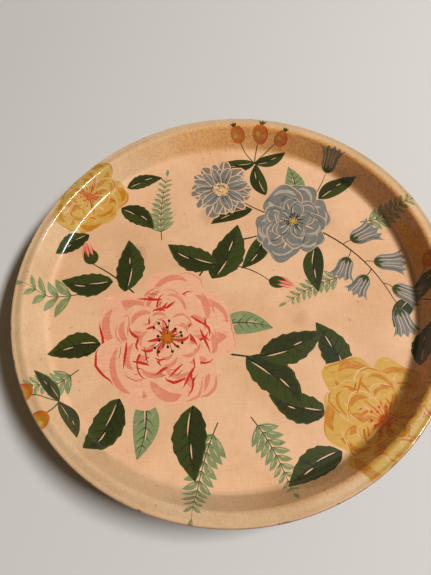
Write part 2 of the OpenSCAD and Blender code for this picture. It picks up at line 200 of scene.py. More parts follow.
class Nodes:
    """A shader tree whose nodes all come from add."""

    def __init__(self, tree):
        self.tree = tree
        tree.nodes.clear()

    def put(self, socket, value):
        """Links an output to a socket, or writes a number or a colour into it."""
        if isinstance(value, Value):
            self.tree.links.new(value.socket, socket)
        elif hasattr(value, "__len__") and len(value) == 3 and socket.type == "RGBA":
            socket.default_value = (*value, 1.0)
        else:
            socket.default_value = value

    def add(self, kind, settings, inputs, output=0):
        """Adds a node: its settings first, then the values or links of its sockets."""
        node = self.tree.nodes.new(kind)
        for name, value in settings.items():
            if name == "stops":
                for stop, (place, colour) in zip(node.color_ramp.elements, value):
                    stop.position = place
                    stop.color = (*colour, 1.0)
            else:
                setattr(node, name, value)
        for name, value in inputs.items():
            self.put(node.inputs[name], value)
        return Value(self, node.outputs[output]) if node.outputs else None

    def place(self):
        return self.add("ShaderNodeTexCoord", {}, {}, "Object")

    def flat_place(self):
        return self.add("ShaderNodeUVMap", {"uv_map": "Cloth"}, {})

    def noise(self, place, size, detail=2.0, roughness=0.5, distortion=0.0):
        """Noise whose spots are about size across, in metres."""
        return self.add("ShaderNodeTexNoise", {}, {"Vector": place, "Scale": 1 / size, "Detail": detail,
                                                   "Roughness": roughness, "Distortion": distortion})

    def ramp(self, value, low, high, start=0.0, end=1.0):
        """Runs smoothly from start to end while value goes from low to high."""
        return self.add("ShaderNodeMapRange", {"interpolation_type": "SMOOTHSTEP"},
                        {"Value": value, "From Min": low, "From Max": high, "To Min": start, "To Max": end})

    def blend(self, first, second, factor, way="MIX"):
        """Mixes two colours."""
        return self.add("ShaderNodeMix", {"data_type": "RGBA", "blend_type": way},
                        {0: factor, 6: first, 7: second}, 2)

    def axis(self, place, output):
        return self.add("ShaderNodeSeparateXYZ", {}, {0: place}, output)

    def stretched(self, place, scale, turn=(0, 0, 0)):
        return self.add("ShaderNodeMapping", {}, {"Vector": place, "Scale": scale, "Rotation": turn})

    def bright(self, colour):
        return self.add("ShaderNodeRGBToBW", {}, {0: colour})

    def distance(self, place, point):
        return self.add("ShaderNodeVectorMath", {"operation": "DISTANCE"}, {0: place, 1: point}, "Value")

    def sine(self, value):
        return self.add("ShaderNodeMath", {"operation": "SINE"}, {0: value})

    def bump(self, height, depth, strength):
        """A bump node of the given depth in metres, fed to the shader's normal."""
        return self.add("ShaderNodeBump", {}, {"Strength": strength, "Distance": depth, "Height": height})

    def rays(self, kind):
        """1 for the rays of a kind, such as Camera."""
        return self.add("ShaderNodeLightPath", {}, {}, f"Is {kind} Ray")

    def backdrop_rays(self):
        """1 for the rays that show the backdrop: straight, in a gloss or through a glass."""
        return self.rays("Camera") | self.rays("Glossy") | self.rays("Transmission")


class Finish(Nodes):
    """A material round one Principled shader."""

    def __init__(self, name, **fixed):
        self.material = bpy.data.materials.new(name)
        self.material.use_nodes = True
        super().__init__(self.material.node_tree)
        self.shader = self.add("ShaderNodeBsdfPrincipled", {}, {})
        self.add("ShaderNodeOutputMaterial", {}, {"Surface": self.shader})
        self.feed(**fixed)

    def feed(self, **values):
        """Sets the shader's own sockets; base_color is its socket Base Color."""
        sockets = self.shader.socket.node.inputs
        for name, value in values.items():
            self.put(sockets[name.replace("_", " ").title().replace("Ior", "IOR")], value)

    def show(self, shader):
        """Shows another shader in place of the material's own."""
        self.put(self.tree.get_output_node("ALL").inputs["Surface"], shader)


# ---- Section of the printed face ----

def rounded_corner(before, corner, after, radius, steps):
    """Points along the arc that rounds a corner of a section drawn in complex numbers."""
    to_before = (before - corner) / abs(before - corner)
    to_after = (after - corner) / abs(after - corner)
    half = abs(cmath.phase(to_after / to_before)) / 2
    middle = to_before + to_after
    centre = corner + middle / abs(middle) * radius / math.sin(half)
    start = corner + to_before * radius / math.tan(half) - centre
    end = corner + to_after * radius / math.tan(half) - centre
    turn = cmath.phase(end / start)
    return [centre + start * cmath.rect(1, turn * k / steps) for k in range(steps + 1)]


def face_section(form, inset, steps):
    """Section of the printed face from the floor's edge to the rim, moved towards the core by inset."""
    rim = TRAY_RADIUS
    corners = [0j, complex(rim - form.lip - form.wall, 0), complex(rim - form.lip, form.depth),
               complex(rim - form.bead_width, form.depth - form.dip),
               complex(rim, form.depth - form.drop), complex(rim, form.depth - form.drop - form.wrap)]
    radii = [form.fillet, form.crest, form.groove, form.bead]
    runs = [(b - a) / abs(b - a) for a, b in zip(corners, corners[1:])]
    moved = []
    for corner, into, out in zip(corners, runs[:1] + runs, runs + runs[-1:]):
        normal = (into + out) * -1j
        normal /= abs(normal)
        moved.append(corner + normal * inset / (normal * (into * -1j).conjugate()).real)
    points = []
    for i, (radius, count) in enumerate(zip(radii, steps), 1):
        bend = 1 if cmath.phase(runs[i] / runs[i - 1]) > 0 else -1
        points += rounded_corner(*moved[i - 1:i + 2], radius + bend * inset, count)
    return points + [moved[-1]]


class Section:
    """A section as a function of the distance along the cloth from the tray's centre."""

    def __init__(self, points, height):
        self.points = points
        self.height = height
        self.along = [points[0].real]
        for a, b in zip(points, points[1:]):
            self.along.append(self.along[-1] + abs(b - a))
        # The slope at a point is the mean of its two stretches, so smooth bends shade smoothly.
        slopes = [(b - a) / abs(b - a) for a, b in zip(points, points[1:])]
        ends = [1 + 0j] + slopes + [slopes[-1]]
        self.slopes = [(a + b) / abs(a + b) for a, b in zip(ends, ends[1:])]

    def at(self, distance):
        """Radius, height and slope at a distance along the cloth."""
        if distance <= self.along[0]:
            return complex(distance, 0), 1 + 0j
        for i in range(len(self.points) - 1):
            if distance <= self.along[i + 1] or i == len(self.points) - 2:
                share = (distance - self.along[i]) / (self.along[i + 1] - self.along[i])
                share = min(share, 1.0)
                slope = self.slopes[i] * (1 - share) + self.slopes[i + 1] * share
                return self.points[i] * (1 - share) + self.points[i + 1] * share, slope / abs(slope)

    def lifted(self, flat):
        """The place and normal on the tray of a point of the flat cloth."""
        distance = abs(flat)
        around = flat / distance if distance else 1 + 0j
        point, slope = self.at(distance)
        place = Vector((around.real * point.real, around.imag * point.real, self.height + point.imag))
        normal = Vector((-around.real * slope.imag, -around.imag * slope.imag, slope.real))
        return place, normal


# ---- Drawing the print. Outlines are lists of complex numbers in millimetres. ----

# How far a leaf's teeth stand out, as a share of its half width
TOOTH = 0.16

# Paths on a petal, as shares of its length and width: a brushed patch along one side, another
# across the tip, and a deep fold.
SIDE_PATCH = ((0.10, 0.03), (0.28, 0.15), (0.45, 0.24), (0.62, 0.29), (0.78, 0.27))
TIP_PATCH = ((0.58, 0.36), (0.74, 0.30), (0.86, 0.16), (0.90, 0.0), (0.86, -0.12))
DEEP_FOLD = ((0.22, 0.14), (0.42, 0.27), (0.62, 0.34), (0.80, 0.31), (0.90, 0.20))

# A bellflower's side and mouth in such shares, and its ribs: how far out, colour and thickness
BELL_SIDE = ((0.0, 0.10), (0.10, 0.26), (0.25, 0.36), (0.45, 0.38), (0.65, 0.41), (0.82, 0.52),
             (0.98, 0.66))
BELL_MOUTH = ((0.86, 0.40), (1.04, 0.24), (0.90, 0.10), (1.08, -0.04), (0.90, -0.18), (1.03, -0.34),
              (0.86, -0.44))
BELL_RIBS = ((0.70, "mist", 0.11), (0.30, None, 0.05), (-0.12, "mist", 0.08), (-0.42, None, 0.045),
             (-0.74, "accent", 0.03), (0.50, "accent", 0.03))


def curve(start, end, bend, steps):
    """A path from start to end that bows to the left by half of bend times its length."""
    middle = (start + end) / 2 + (end - start) * 1j * bend
    return [start * (1 - t) ** 2 + 2 * middle * t * (1 - t) + end * t ** 2
            for t in (k / steps for k in range(steps + 1))]


def stroke(path, start_width, middle_width, end_width):
    """Outline of a brush stroke along a path."""
    left, right = [], []
    last = len(path) - 1
    for i, point in enumerate(path):
        t = i / last
        along = path[min(i + 1, last)] - path[max(i - 1, 0)]
        side = along / abs(along) * 1j
        width = start_width * (1 - t) ** 2 + 2 * middle_width * t * (1 - t) + end_width * t ** 2
        left.append(point + side * width / 2)
        right.append(point - side * width / 2)
    return left + right[::-1]


def spine(length, bend, t):
    """The point at the share t of a leaf's bent middle line."""
    return complex(length * t, bend * length * 4 * t * (1 - t))


def blade(length, width, belly, bend, steps, teeth=0):
    """Outline of a leaf or narrow petal from its base at 0, widest at the share belly of its length."""
    power = math.log(0.5) / math.log(belly)
    upper, lower = [], []
    for k in range(steps + 1):
        t = k / steps
        half = width / 2 * math.sin(math.pi * t ** power) ** 0.85 if 0 < k < steps else 0.02 * width
        if teeth:
            half *= 1 + TOOTH * ((t * teeth) % 1.0)
        upper.append(spine(length, bend, t) + 1j * half)
        lower.append(spine(length, bend, t) - 1j * half)
    return upper + lower[::-1]


def petal(length, width, rng, ruffle, lobes, steps):
    """Outline of a broad petal from its base at 0, with an uneven, ruffled tip."""
    shift, sway = rng.uniform(0, math.tau), rng.uniform(0, math.tau)
    lean = rng.uniform(-0.06, 0.06) * width
    points = []
    for k in range(steps):
        a = math.tau * k / steps - math.pi
        tip = math.cos(a / 2) ** 2
        swell = 1 + tip * (ruffle * math.sin(lobes * a + shift) + 0.5 * ruffle * math.sin(2 * a + sway))
        x = length / 2 * (1 + math.cos(a) * swell)
        y = width / 2 * math.sin(a) * max(math.cos(a / 2), 0.0) ** 0.55 * swell * 1.15 + lean * tip
        points.append(complex(max(x, 0), y))
    return points


def in_shares(shares, length, width):
    """Points given in shares of a length and a width."""
    return [complex(length * x, width * y) for x, y in shares]


def smooth(outline):
    """The outline with its corners cut, and twice as many points."""
    return [point for a, b in zip(outline, outline[1:] + outline[:1])
            for point in (0.75 * a + 0.25 * b, 0.25 * a + 0.75 * b)]


def disc(radius, rng, steps):
    """Outline of an uneven dot round 0."""
    return [cmath.rect(radius * rng.uniform(0.92, 1.08), math.tau * k / steps) for k in range(steps)]


def placed(outline, at, turn=0.0, squash=1.0, tilt=0.0):
    """An outline turned, squashed along the direction tilt, and moved to its place. Both in degrees."""
    spin = cmath.rect(1, math.radians(turn))
    lean = cmath.rect(1, math.radians(tilt))
    points = []
    for point in outline:
        local = point * spin / lean
        points.append(at + complex(local.real * squash, local.imag) * lean)
    return points


class Print:
    """The flat design: patches of ink in the order in which they are laid."""

    def __init__(self, settings):
        self.rng = random.Random(settings.seed)
        self.patches = []

    def ink(self, colour, outline):
        """Lays a patch of ink. The triangulation fills what lies left of an outline."""
        area = sum((a.conjugate() * b).imag for a, b in zip(outline, outline[1:] + outline[:1]))
        self.patches.append((colour, outline if area > 0 else outline[::-1]))

    def lay(self, colour, outline, at, turn):
        """Lays a patch that was drawn from 0 along the real axis."""
        self.ink(colour, placed(outline, at, turn))

    def line(self, colour, start, end, bend, widths, steps=8):
        """A brushed line, such as a stem."""
        self.ink(colour, stroke(curve(start, end, bend, steps), *widths))

    def leaf(self, at, turn, length, width, bend, teeth=0, tones=("moss", "olive", "accent")):
        """A leaf: a blade with a shaded side, dark veins, and slits of bare ground."""
        rng = self.rng
        blade_tone, shade, vein = tones
        belly, steps = 0.42, 18

        def middle(t):
            return spine(length, bend, t)

        self.lay(blade_tone, blade(length, width, belly, bend, steps, teeth), at, turn)
        upper = blade(length * 0.96, width * 0.90, belly, bend * 0.96, steps, teeth)[1:steps - 1]
        self.lay(shade, upper + [middle(t / 12) + 0.02j * width for t in range(11, 0, -1)], at, turn)
        for k in range(1, 6):
            t = 0.08 + 0.14 * k
            reach = width * 0.40 * math.sin(math.pi * t ** 0.8) * rng.uniform(0.7, 1.05)
            for way in (1, -1):
                tip = middle(t) + complex(reach * 0.9, way * reach)
                self.lay(vein, stroke(curve(middle(t), tip, 0.12 * way, 4), 0.8, 0.6, 0.15), at, turn)
        self.lay(vein, stroke([middle(t / 10) for t in range(11)], 1.4, 0.9, 0.3), at, turn)
        for start, end, side in ((0.10, rng.uniform(0.34, 0.46), -1), (0.52, rng.uniform(0.64, 0.76), 1)):
            aside = 1j * side * (0.8 + 0.02 * width)
            slit = [middle(start + (end - start) * t / 5) + aside for t in range(6)]
            self.lay(None, stroke(slit, 0.3, 0.075 * width, 0.2), at, turn)

    def frond(self, at, turn, length, pairs, leaflet, bend):
        """A fern-like sprig with paired leaflets that grow smaller to its tip."""
        steps, splay = 14, 52
        path = curve(0j, complex(length, 0), bend, steps)
        self.lay("olive", stroke(path, 1.0, 0.8, 0.3), at, turn)
        for k in range(pairs):
            t = 0.12 + 0.86 * k / pairs
            i = min(int(t * steps), steps - 1)
            ahead = path[i + 1] - path[i]
            base = path[i] + ahead * (t * steps - i)
            size = leaflet * (1 - 0.62 * t) * self.rng.uniform(0.88, 1.1)
            for way in (1, -1):
                angle = math.degrees(cmath.phase(ahead)) + way * splay
                ray = cmath.rect(size, math.radians(angle))
                shape = placed(blade(size, size * 0.36, 0.5, -0.07 * way, 9), base, angle)
                slit = curve(base + ray * 0.22, base + ray * self.rng.uniform(0.55, 0.8), 0.04 * way, 3)
                stalk = curve(base, base + ray * 0.3, 0, 2)
                self.lay("sage", shape, at, turn)
                self.lay(None, stroke(slit, 0.2, 0.9, 0.2), at, turn)
                self.lay("olive", stroke(stalk, 0.7, 0.5, 0.2), at, turn)
        self.lay("sage", placed(blade(leaflet * 0.5, leaflet * 0.2, 0.5, 0, 8), path[-1]), at, turn)

    def bell(self, at, turn, length):
        """A grey-blue bellflower seen from the side, hanging from its calyx."""
        width = length * 0.80
        side = in_shares(BELL_SIDE, length, width)
        body = side + in_shares(BELL_MOUTH, length, width) + in_shares(BELL_SIDE[::-1], length, -width)
        self.lay("slate", body, at, turn)
        for share, colour, thickness in BELL_RIBS:
            rib = [complex(p.real * 0.97, p.imag * share) for p in side[1:]]
            self.lay(colour, stroke(rib, 0.3, width * thickness, 0.3), at, turn)
        for way in (-1, 0, 1):
            self.lay("moss", blade(length * 0.34, length * 0.11, 0.4, 0.1 * way, 7), at, turn + 30 * way)

    def hip(self, at, turn, size):
        """A rose hip with a lit side and a dark tuft."""
        body = smooth([complex(p.real * 1.2, p.imag) for p in disc(size, self.rng, 10)])
        self.lay("rust", body, at, turn)
        self.lay("gold", [p * 0.68 + size * 0.12j for p in body], at, turn)
        self.lay("straw", [p * 0.26 + size * 0.32j for p in body], at, turn)
        self.lay("crimson", stroke([p * 0.90 for p in body[12:19]], 0.2, size * 0.2, 0.2), at, turn)
        for way in (-1, 0, 1):
            tuft = placed(blade(size * 0.75, size * 0.28, 0.4, 0, 6), size * 1.08, way * 34)
            self.lay("moss", tuft, at, turn)

    def bud(self, at, turn, length):
        """A coral bud half wrapped in its sepals."""
        self.lay("blush", blade(length, length * 0.58, 0.5, 0, 12), at, turn)
        self.lay("coral", blade(length * 0.98, length * 0.36, 0.5, 0.10, 12), at, turn)
        for way in (-1, 0, 1):
            tip = complex(length * 0.86, way * length * 0.10)
            self.lay("crimson", stroke(curve(0j, tip, 0.14 * way, 5), 0.5, length * 0.07, 0.2), at, turn)
        for way, reach in ((1, 0.66), (-1, 0.60), (0, 0.52)):
            self.lay("moss", blade(length * reach, length * 0.2, 0.4, 0.14 * way, 8), at, turn + 13 * way)


class Flower:
    """A flower of the print, seen at an angle. Tones are its wash, its brushed patches and its strokes."""

    def __init__(self, design, at, radius, tones, squash, tilt, turn=0.0, weight=1.0):
        self.design = design
        self.rng = design.rng
        self.at = at
        self.radius = radius
        self.wash, self.patch, self.line = tones
        self.squash = squash
        self.tilt = tilt
        self.turn = turn
        self.weight = weight

    def lay(self, colour, outline, angle=0.0):
        """Lays a patch that was drawn from the flower's heart along the real axis."""
        self.design.ink(colour, placed(placed(outline, 0j, angle), self.at, 0, self.squash, self.tilt))

    def draw_rays(self, petals):
        """A daisy: two rings of brushed petals, with bare ground between them, round a dotted heart."""
        rng = self.rng
        order = list(range(petals))
        rng.shuffle(order)
        for ring, reach in ((0, 1.0), (1, 0.80)):
            for k in order:
                angle = self.turn + 360 * (k + 0.5 * ring) / petals + rng.uniform(-6, 6)
                length = self.radius * reach * rng.uniform(0.86, 1.08)
                width = length * math.tau / petals * rng.uniform(0.80, 1.05)
                self.lay_ray(length, width, None if ring == 0 else self.patch, angle)
        self.dot_heart()

    def lay_ray(self, length, width, slit_tone, angle):
        """A narrow petal with a slit and up to two fine strokes."""
        rng = self.rng
        whole = petal(length, width, rng, 0.09, 3, 14)
        self.lay(None, [complex(p.real * 1.04, p.imag * 1.16) for p in whole], angle)
        self.lay(self.wash, whole, angle)
        side = rng.choice((-1, 1))
        slit = curve(complex(length * 0.45, side * width * 0.05),
                     complex(length * 1.02, side * width * 0.16), 0.05, 3)
        self.lay(slit_tone, stroke(slit, 0.2, width * 0.16, width * 0.12), angle)
        for way in (-1, 1):
            start = complex(length * rng.uniform(0.2, 0.3), way * width * 0.10)
            tip = complex(length * rng.uniform(0.50, 0.86), way * width * rng.uniform(0.16, 0.30))
            if rng.random() < 0.8:
                self.lay(self.line, stroke(curve(start, tip, 0.05 * way, 3), 0.5, 1.1, 0.15), angle)

    def dot_heart(self):
        """A bare heart filled with dots, and a ring of dark dots round it."""
        rng = self.rng
        heart = self.radius * 0.24
        self.lay(None, disc(heart * 1.05, rng, 18))
        for k in range(34):
            spot = cmath.rect(heart * math.sqrt(rng.random()), rng.uniform(0, math.tau))
            tone = rng.choice(("sage", "sage", "straw", "accent"))
            self.lay(tone, [p + spot for p in disc(self.radius * rng.uniform(0.022, 0.038), rng, 6)])
        for k in range(16):
            spot = cmath.rect(heart * rng.uniform(0.85, 1.25), math.tau * k / 16)
            self.lay("moss", [p + spot for p in disc(self.radius * 0.024, rng, 6)])

    def draw_full(self, rings, eye, folds=0):
        """A many-petalled bloom. Each ring gives its count of petals, its reach and the petals' breadth."""
        rng = self.rng
        for ring, (count, reach, breadth) in enumerate(rings):
            for k in range(count):
                angle = self.turn + 360 * (k + 0.5 * (ring % 2)) / count + rng.uniform(-9, 9)
                length = self.radius * reach * rng.uniform(0.88, 1.08)
                width = length * breadth * rng.uniform(0.88, 1.10)
                self.lay_petal(length, width, ring, angle)
        for k in range(folds):
            self.lay_fold(self.turn + 360 * k / folds + rng.uniform(-20, 20))
        self.lay_eye(*eye)

    def lay_petal(self, length, width, ring, angle):
        """A washed petal with bare gaps, brushed patches and loose strokes."""
        rng, bold = self.rng, self.weight * self.radius
        whole = smooth(petal(length, width, rng, 0.11, rng.choice((3, 4, 5)), 22))
        # Bare ground shows past one side of the petal more than past the other.
        gap = 1.0 + self.radius * 0.012 / length
        lean = 1j * self.radius * rng.uniform(-0.011, 0.011)
        self.lay(None, [complex(p.real * gap, p.imag * (gap + 0.01)) + lean for p in whole], angle)
        self.lay(self.wash, whole, angle)
        side = rng.choice((-1, 1))
        self.brush_patches(length, width, side, angle)
        if rng.random() < 0.6:
            slit = curve(complex(length * 0.38, -side * width * 0.06),
                         complex(length * rng.uniform(0.62, 0.8), -side * width * 0.12), 0.08, 4)
            self.lay(None, stroke(slit, 0.3, width * 0.09, 0.3), angle)
        self.brush_heart(length, width, angle)
        # The inner petals are folded deeper.
        if ring:
            depth = self.weight * width * rng.uniform(0.03, 0.075) * (0.5 + 0.4 * ring)
            path = in_shares(DEEP_FOLD, length, side * width)
            self.lay(self.line, smooth(stroke(path, 0.3, depth, 0.3)), angle)
        # A dry stroke breaks the petal's edge.
        first = rng.randrange(14, 24)
        edge = [p * rng.uniform(0.97, 1.0) for p in whole[first:first + 8]]
        tone = rng.choice((self.patch, self.line, self.patch))
        self.lay(tone, stroke(edge, 0.2, bold * rng.uniform(0.02, 0.05), 0.2), angle)
        if ring > 1 and rng.random() < 0.7:
            start = complex(length * rng.uniform(0.3, 0.5), side * width * 0.12)
            tip = start + complex(length * 0.22, side * width * 0.06)
            self.lay("accent", stroke(curve(start, tip, 0.1, 3), 0.3, 1.0, 0.3), angle)

    def brush_patches(self, length, width, side, angle):
        """Two broad brushed patches: one along a side of the petal, one across its tip."""
        rng, bold = self.rng, self.weight * width
        path = [complex(p.real, p.imag * rng.uniform(0.85, 1.1))
                for p in in_shares(SIDE_PATCH, length, side * width)]
        outline = stroke(path, width * 0.04, bold * rng.uniform(0.16, 0.34), width * 0.04)
        self.lay(self.patch, smooth(outline), angle)
        path = in_shares(TIP_PATCH, length, -side * width)
        outline = stroke(path, width * 0.03, bold * rng.uniform(0.08, 0.20), width * 0.02)
        self.lay(self.patch, smooth(outline), angle)

    def brush_heart(self, length, width, angle):
        """Strokes out of the heart, some of them forked."""
        rng = self.rng
        for way in (-1, 0, 1):
            start = complex(length * 0.10, way * width * 0.04)
            tip = complex(length * rng.uniform(0.34, 0.70), way * width * rng.uniform(0.10, 0.24))
            if rng.random() < 0.62:
                path = curve(start, tip, 0.12 * way, 5)
                bold = self.weight * self.radius * rng.uniform(0.025, 0.060)
                self.lay(self.line, stroke(path, 0.2 * bold, bold, 0.2), angle)
                if rng.random() < 0.4:
                    fork = curve(path[3], path[3] + complex(length * 0.12, -way * width * 0.12), 0.1, 3)
                    self.lay(self.line, stroke(fork, 0.5 * bold, 0.4 * bold, 0.2), angle)

    def lay_fold(self, angle):
        """A bold fold over the petals, sometimes forked, and sometimes with a fine dark stroke beside."""
        rng = self.rng
        reach, sweep = self.radius * rng.uniform(0.24, 0.60), rng.choice((-1, 1)) * rng.uniform(0.30, 0.62)
        path = [cmath.rect(reach * (1 + 0.30 * t * t), sweep * (t - 0.4))
                for t in (0, 0.2, 0.4, 0.6, 0.8, 1)]
        bold = self.radius * rng.uniform(0.040, 0.085)
        self.lay(self.line, smooth(stroke(path, 0.2, bold, 0.3)), angle)
        if rng.random() < 0.6:
            tip = path[2] + (path[2] - path[0]) * complex(0.8, -0.5 * math.copysign(1, sweep))
            self.lay(self.line, stroke(curve(path[2], tip, 0.15, 4), bold * 0.5, bold * 0.35, 0.2), angle)
        if rng.random() < 0.5:
            beside = [p * (1 + 1.1 * bold / reach) for p in path[1:4]]
            self.lay("accent", stroke(beside, 0.3, 1.1, 0.3), angle)

    def lay_eye(self, tone, stamen_tone):
        """The eye, with stamens round it."""
        rng, radius = self.rng, self.radius
        self.lay(tone, smooth(disc(radius * 0.10, rng, 9)))
        for k in range(15):
            ray = cmath.rect(1, math.tau * k / 15 + rng.uniform(-0.15, 0.15))
            reach = radius * rng.uniform(0.12, 0.24)
            stamen = stroke([ray * radius * 0.05, ray * reach * 0.6, ray * reach], 0.7, 0.5, 0.5)
            self.lay(stamen_tone, stamen)
            self.lay(stamen_tone, [p + ray * reach for p in disc(radius * 0.022, rng, 6)])


CORAL = ("blush", "coral", "crimson")
BLUE = ("slate", "mist", "accent")
YELLOW = ("straw", "gold", "rust")
PALE_GREEN = ("sage", "sage", "olive")


def draw_coral_spray(design):
    """The large coral bloom, left of the middle, with its leaves and two buds."""
    heart = -60 - 40j
    for start, end, bend, width in ((heart, 4 + 56j, 0.10, 2.2), (heart, -132 + 46j, -0.14, 1.8),
                                    (-6 + 30j, 40 + 8j, 0.2, 1.3), (heart, 44 - 70j, -0.10, 2.0)):
        design.line("olive", start, end, bend, (width, width, width * 0.6), 12)
    for at, turn, length, width, bend in (
            (-14 + 16j, 62, 66, 30, -0.07), (-8 + 30j, 148, 56, 26, 0.07),
            (-100 + 12j, 86, 58, 27, -0.07), (-112 + 24j, 172, 52, 24, 0.08),
            (-122 - 40j, 186, 50, 24, -0.08), (-104 - 92j, 236, 56, 27, 0.07),
            (-40 - 104j, 268, 60, 28, -0.07), (10 - 66j, 312, 66, 30, 0.06),
            (22 - 66j, 16, 62, 27, -0.06)):
        design.leaf(at, turn, length, width, bend, teeth=6)
    design.bud(-132 + 46j, 108, 30)
    design.bud(40 + 8j, -22, 26)
    bloom = Flower(design, heart, 72, CORAL, squash=0.90, tilt=24, turn=10, weight=1.7)
    bloom.draw_full(((5, 1.0, 1.05), (6, 0.84, 0.90), (5, 0.66, 0.92), (5, 0.48, 0.85), (3, 0.32, 0.95)),
                    ("rust", "accent"), folds=13)


def draw_blue_spray(design):
    """Blue flowers up and right of the middle, with a chain of bells."""
    heart = 74 + 72j
    for start, end, bend, width in ((heart, 8 + 122j, 0.14, 1.6), (4 + 56j, heart, -0.12, 1.8),
                                    (heart, 152 - 26j, 0.22, 1.8), (heart, 118 + 128j, -0.1, 1.4)):
        design.line("olive", start, end, bend, (width, width * 0.9, width * 0.4), 14)
    for at, turn, length, width, bend in ((44 + 60j, 232, 46, 19, 0.08), (92 + 40j, 262, 50, 20, -0.08),
                                          (104 + 96j, 22, 48, 19, 0.08), (34 + 92j, 196, 46, 18, -0.08),
                                          (50 + 108j, 96, 44, 17, 0.08)):
        design.leaf(at, turn, length, width, bend)
    stem = curve(heart, 152 - 26j, 0.22, 14)
    for k, turn, length in ((6, 22, 30), (7, -118, 25), (9, -8, 29), (10, -130, 24), (12, -34, 27),
                            (14, -84, 26)):
        root = stem[k] + cmath.rect(9, math.radians(turn))
        design.line("olive", stem[k], root, 0.2, (0.9, 0.8, 0.8))
        design.bell(root, turn, length)
    design.bell(118 + 128j, 56, 28)
    bloom = Flower(design, heart, 46, BLUE, squash=0.86, tilt=-30)
    bloom.draw_full(((6, 1.0, 0.92), (6, 0.76, 0.82), (5, 0.50, 0.8)), ("straw", "accent"))
    Flower(design, 4 + 122j, 38, BLUE, squash=0.88, tilt=20).draw_rays(15)


def draw_yellow_sprays(design):
    """Yellow flowers that run over the wall at the lower right and the upper left."""
    eye = ("rust", "crimson")
    for at, turn, length, width, bend in ((72 - 120j, 158, 50, 24, 0.07), (92 - 92j, 106, 54, 25, -0.07),
                                          (158 - 92j, 58, 44, 20, 0.07), (78 - 152j, 206, 52, 23, -0.06)):
        design.leaf(at, turn, length, width, bend, teeth=6)
    bloom = Flower(design, 118 - 132j, 62, YELLOW, squash=0.90, tilt=40, weight=1.6)
    bloom.draw_full(((6, 1.0, 0.95), (6, 0.78, 0.88), (5, 0.54, 0.88)), eye, folds=7)
    for at, turn, length, width, bend in ((-104 + 112j, 318, 46, 21, 0.07),
                                          (-138 + 82j, 212, 40, 19, -0.07),
                                          (-98 + 138j, 12, 40, 17, 0.07)):
        design.leaf(at, turn, length, width, bend, teeth=6)
    bloom = Flower(design, -140 + 126j, 47, YELLOW, squash=0.88, tilt=-42, weight=1.6)
    bloom.draw_full(((5, 1.0, 1.0), (5, 0.76, 0.92), (4, 0.5, 0.95)), eye, folds=6)


def draw_hips_and_ferns(design):
    """Sprigs that fill the ground, some of them over the wall and lip."""
    for at, turn, length, pairs, leaflet, bend in (
            (-142 - 62j, 204, 68, 9, 20, 0.10), (-20 - 120j, 252, 86, 10, 22, -0.10),
            (8 - 118j, 292, 72, 9, 19, 0.10), (140 + 62j, 12, 74, 9, 19, -0.09),
            (-62 + 66j, 84, 82, 10, 19, 0.08), (112 + 4j, 200, 62, 8, 17, -0.10),
            (-146 + 14j, 172, 58, 4, 27, 0.12)):
        design.frond(at, turn, length, pairs, leaflet, bend)
    for at, turn, length, width, bend in ((-12 - 34j, -8, 50, 23, 0.09), (78 + 96j, 88, 46, 21, -0.09),
                                          (-82 - 92j, 262, 52, 23, 0.08)):
        design.leaf(at, turn, length, width, bend, tones=PALE_GREEN)
    for root, berries in ((44 + 152j, ((30 + 190j, 106, 8.5), (56 + 186j, 72, 9.5), (78 + 176j, 52, 8.0))),
                          (170 - 26j, ((196 - 46j, 324, 9.0), (204 - 20j, 352, 9.5), (196 + 4j, 22, 8.0))),
                          (-158 - 92j, ((-176 - 116j, 222, 9.0), (-194 - 90j, 184, 9.5)))):
        for place, turn, size in berries:
            design.line("olive", root, place, 0.12, (1.2, 1.0, 0.9))
            design.hip(place, turn, size)
        way = math.degrees(cmath.phase(berries[0][0] - root))
        design.leaf(root, way + 62, 40, 17, 0.08)
        design.leaf(root, way - 96, 36, 16, -0.08)


# ---- Building the printed face ----

# Steps round the section's four bends, from the fillet out to the bead
UPPER_STEPS = (9, 9, 4, 10)
LOWER_STEPS = (5, 5, 3, 4)


class Sheet:
    """The printed sheet as it grows: its corners over the flat cloth, and its faces with their ink."""

    def __init__(self):
        self.vertices, self.normals, self.flats = [], [], []
        self.faces, self.tones = [], []

    def corner(self, section, flat, way):
        """Adds the corner over a point of the flat cloth, facing up for 1 and down for -1."""
        place, normal = section.lifted(flat)
        self.vertices.append(place)
        self.normals.append(normal * way)
        self.flats.append(flat)
        return len(self.vertices) - 1

    def face(self, corners, tone=None):
        self.faces.append(corners)
        self.tones.append(tone)


def ring_points(radius, rounds):
    return [cmath.rect(radius, math.tau * k / rounds) for k in range(rounds)]


def triangulated(rings, outlines):
    """Triangles of the flat cloth, cut along its rings and along every outline."""
    points, edges, faces = [], [], []
    for ring in rings:
        start = len(points)
        points += ring
        edges += [(start + k, start + (k + 1) % len(ring)) for k in range(len(ring))]
    for outline in outlines:
        start = len(points)
        points += outline
        faces.append(list(range(start, start + len(outline))))
    flat = [Vector((p.real, p.imag)) for p in points]
    places, _, triangles, _, _, owners = delaunay_2d_cdt(flat, edges, faces, 0, MERGE, True)
    return [complex(*p) for p in places], triangles, owners


def cut_upper_face(sheet, section, rounds, patches):
    """Adds the upper face, with the ink patches cut into it."""
    rings = [ring_points(distance, rounds) for distance in section.along]
    outlines = [[p * MM for p in outline] for _, outline in patches]
    places, triangles, owners = triangulated(rings, outlines)
    sector = math.tau / rounds
    reach = section.along[-1] * math.cos(sector / 2)
    corner_at = {}
    for triangle, owner in zip(triangles, owners):
        # What the print draws past the rim is left out.
        centre = sum(places[i] for i in triangle) / 3
        turn = cmath.phase(centre) % sector - sector / 2
        if abs(centre) * math.cos(turn) > reach:
            continue
        for i in triangle:
            if i not in corner_at:
                corner_at[i] = sheet.corner(section, places[i], 1)
        sheet.face([corner_at[i] for i in triangle], patches[max(owner)][0] if owner else None)


